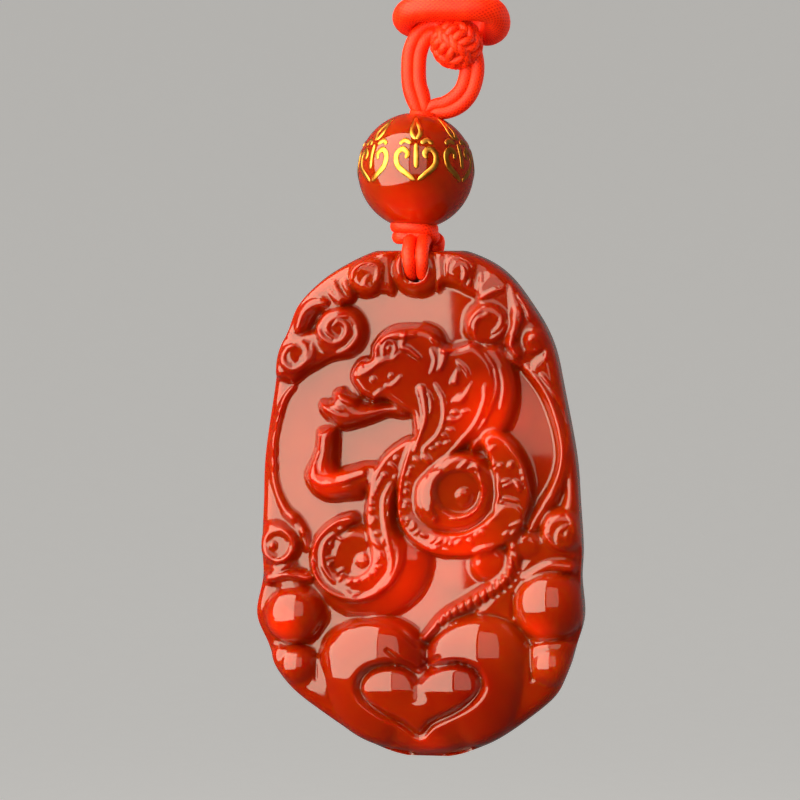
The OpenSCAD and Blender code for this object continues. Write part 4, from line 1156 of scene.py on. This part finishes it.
def braid(line, r):
    """The core and the eight strands of a round braid along a line."""
    reach = lengths(line)
    even = np.linspace(0, reach[-1], max(int(reach[-1] / BRAID_STEP), 8))
    line = np.column_stack([np.interp(even, reach, line[:, k]) for k in range(3)])
    one, two = carried(line)[1:]
    tubes = [tube(line, r * 0.86, 14)]
    for hand_side in (1, -1):
        for k in range(4):
            w = math.tau * even / PITCH
            angle = hand_side * w + math.pi / 2 * k + (math.pi / 4 if hand_side < 0 else 0)
            out = r * (0.66 + hand_side * 0.05 * np.sin(4 * w + math.pi * k))
            path = line + out[:, None] * (np.cos(angle)[:, None] * one + np.sin(angle)[:, None] * two)
            tubes.append(tube(path, r * 0.3, 7))
    return tubes


HITCH = [  # across, back and up from the bead's middle
    (1.85, 2.4, 20.2), (1.7, 2.7, 18.4), (1.1, 3.0, 16.8), (0.2, 2.9, 15.7), (-0.7, 1.9, 15.3),
    (-1.1, 0.1, 15.7), (-0.4, -1.6, 16.2), (1.4, -2.4, 16.5), (4.2, -2.5, 16.45), (6.6, -2.3, 16.4),
    (8.0, -1.4, 16.1), (8.4, 0.0, 15.3), (8.0, 1.6, 14.6), (6.9, 2.7, 14.4), (5.8, 3.1, 15.6),
    (5.3, 2.9, 17.4), (5.15, 2.4, 20.2)]
cord_piece("satin_hitch", [tube(curve(HITCH, 8) + BEAD, 1.36, 24)], "hitch")

# %% [markdown]
# ## The loop round the neck
# The loop lies on the neck in a round arc, and its sides run straight down to the hitch from where
# they leave the arc. Behind the neck the two ends are joined under four wraps.

# %% Neck loop and nape knot
CORD_R, ARC_R, ARC_Z, FOOT = 1.3, 61.3, -60.0, (6.6, -246.0)
KNOT_ANGLE = math.radians(2.2)  # the arc starts inside the knot
SHARES = (0.04, 0.12, 0.25, 0.45, 0.65, 0.82, 0.93)  # points on the straight side
ENDS = [(4.1, 0.1, 37), (2.5, 0.4, 31), (1.9, 1.0, 27), (1.7, 1.9, 23.5), (1.65, 2.4, 20.0)]
turn_end = (math.pi / 2 + math.asin(ARC_R / math.hypot(FOOT[0], FOOT[1] - ARC_Z))
            - math.atan2(FOOT[0], ARC_Z - FOOT[1]))
for side, node in ((-1, "neck_cord_left"), (1, "neck_cord_right")):
    arc = [(side * ARC_R * math.sin(a), 0, ARC_Z + ARC_R * math.cos(a))
           for a in np.linspace(KNOT_ANGLE, turn_end, 22)]
    foot = np.array((side * FOOT[0], 0, FOOT[1]))
    straight = [tuple(np.array(arc[-1]) + (foot - arc[-1]) * s) for s in SHARES]
    ends = [(side * x, y, BEAD[2] + z) for x, y, z in ENDS]
    cord_piece("braided_" + node, braid(curve(arc + straight + [tuple(foot)] + ends, 8), CORD_R), node)
WRAP_TURNS, WRAP_POINTS, WRAP_HALF, WRAP_OUT, WRAP_UP = 4, 120, 1.9, 1.68, 2.35
turns = np.linspace(0, math.tau * WRAP_TURNS, WRAP_POINTS)
coil = np.column_stack([np.linspace(-WRAP_HALF, WRAP_HALF, WRAP_POINTS), WRAP_OUT * np.cos(turns),
                        WRAP_UP + WRAP_OUT * np.sin(turns)])
cord_piece("nape_wraps", [tube(coil, 0.6, 10)], "nape_knot")

# %% [markdown]
# ## The paper
# A studio hangs its paper so that the floor curves up behind the object without a corner. Here it
# curves up all round, so every view has it behind the piece: a profile is turned about the middle.
# Only the camera sees it. It throws no light on the stone and isn't mirrored there, so the polished
# faces stay deep red, and a faint glow of its own keeps it pale. The profile stops 20 mm short of
# the middle at both ends, so a small round hole is left under and over the piece.

# %% The paper sweep
scene = bpy.context.scene
scene.view_settings.view_transform = "Standard"
paper, shader, place = finish("paper", Roughness=0.9, Emission_Color=(0.95, 0.93, 0.9, 1),
                              Emission_Strength=0.42)
grain = place.noise(60.0, 2.0)
feed(shader, "Base Color", grain.ramp((0.3, (0.78, 0.77, 0.75)), (0.7, (0.82, 0.81, 0.79))))
PROFILE = [  # radius and height, in metres
    (0.02, -0.75), (1.6, -0.75), (2.5, -0.7), (3.2, -0.3), (3.5, 0.6), (3.3, 2.0), (2.2, 3.2), (0.02, 3.6)]
AROUND = 48
profile = curve(PROFILE, 8)
turns = np.linspace(0, math.tau, AROUND + 1)[:-1]
points = [(r * math.cos(t) / MM, r * math.sin(t) / MM, z / MM) for t in turns for r, z in profile]
n = len(profile)
faces = [(k * n + i, (k + 1) % AROUND * n + i, (k + 1) % AROUND * n + i + 1, k * n + i + 1)
         for k in range(AROUND) for i in range(n - 1)]
sweep = shape("paper_sweep", points, faces)
sweep.data.materials.append(paper)
bpy.ops.object.shade_smooth()
sweep.visible_glossy = sweep.visible_diffuse = False
print("the sweep has", len(faces), "faces")

# %% [markdown]
# ## Lights and dark surroundings
# A large soft box on the left leans over the stone and gives the wide pink shine on the flat ground.
# A weaker one behind the camera gives the second, smaller windows. Both are mirrored in the polish.
# Four more panels give light and aren't mirrored: one behind, one above, one on the right, and a
# small low one behind the stone that lets its edge glow. The world is nearly black on the camera's
# side, which the stone's front mirrors, and dark grey behind. A bright one would turn the polish
# milky.

# %% The lights
def panel(name, corner, along, up, radiance, colour=(1, 1, 1), mirrored=False):
    """An area light from a lower corner, along its lower edge and up its side, in millimetres."""
    corner, along, up = (np.array(v, float) for v in (corner, along, up))
    width, height = np.linalg.norm(along), np.linalg.norm(up)
    x, y = along / width, up / height
    if np.dot(np.cross(x, y), corner + along / 2 + up / 2 - STONE) < 0:
        x = -x  # its lit side faces the stone
    turned = Matrix(np.column_stack([x, y, np.cross(x, y)]).tolist()).to_euler()
    bpy.ops.object.light_add(type="AREA", location=(corner + along / 2 + up / 2) * MM, rotation=turned)
    light = bpy.context.object
    light.name = name
    light.data.shape, light.data.size, light.data.size_y = "RECTANGLE", width * MM, height * MM
    light.data.energy = radiance * math.pi * width * height * MM ** 2
    light.data.color = colour
    light.visible_glossy = mirrored


WARM = (1.0, 0.97, 0.74)
panel("soft_box_left", (-25, -250, -392), (-305, 130, -52), (0, 165, 410), 5.6, WARM, mirrored=True)
panel("soft_box_right", (190, -400, -351), (-221, 0, 0), (0, 120, 380), 1.7, WARM, mirrored=True)
panel("back_light", (-500, 500, -300), (1000, 0, 0), (0, 150, 400), 3.2)
panel("top_light", (-700, -500, 700), (1400, 0, 0), (0, 1400, 0), 0.9)
panel("side_light", (420, 0, -520), (0, 420, 0), (0, 0, 420), 2.6)
panel("rim_light", (150, 200, -470), (-120, 60, 0), (0, 30, 90), 7.0, (1.0, 0.9, 0.8))

# %% The surroundings
world = bpy.data.worlds.new("surroundings")
scene.world = world
world.use_nodes = True
way = Wire(world.node_tree, world.node_tree.nodes.new("ShaderNodeTexCoord").outputs["Generated"])
depth = way.node("ShaderNodeSeparateXYZ", out=1, in0=way)
dusk = (depth * 0.5 + 0.5).ramp((0.1, (0.03, 0.028, 0.024)), (0.95, (0.12, 0.117, 0.11)))
feed(world.node_tree.nodes["Background"], "Color", dusk)
print("the world has", len(world.node_tree.nodes), "nodes")
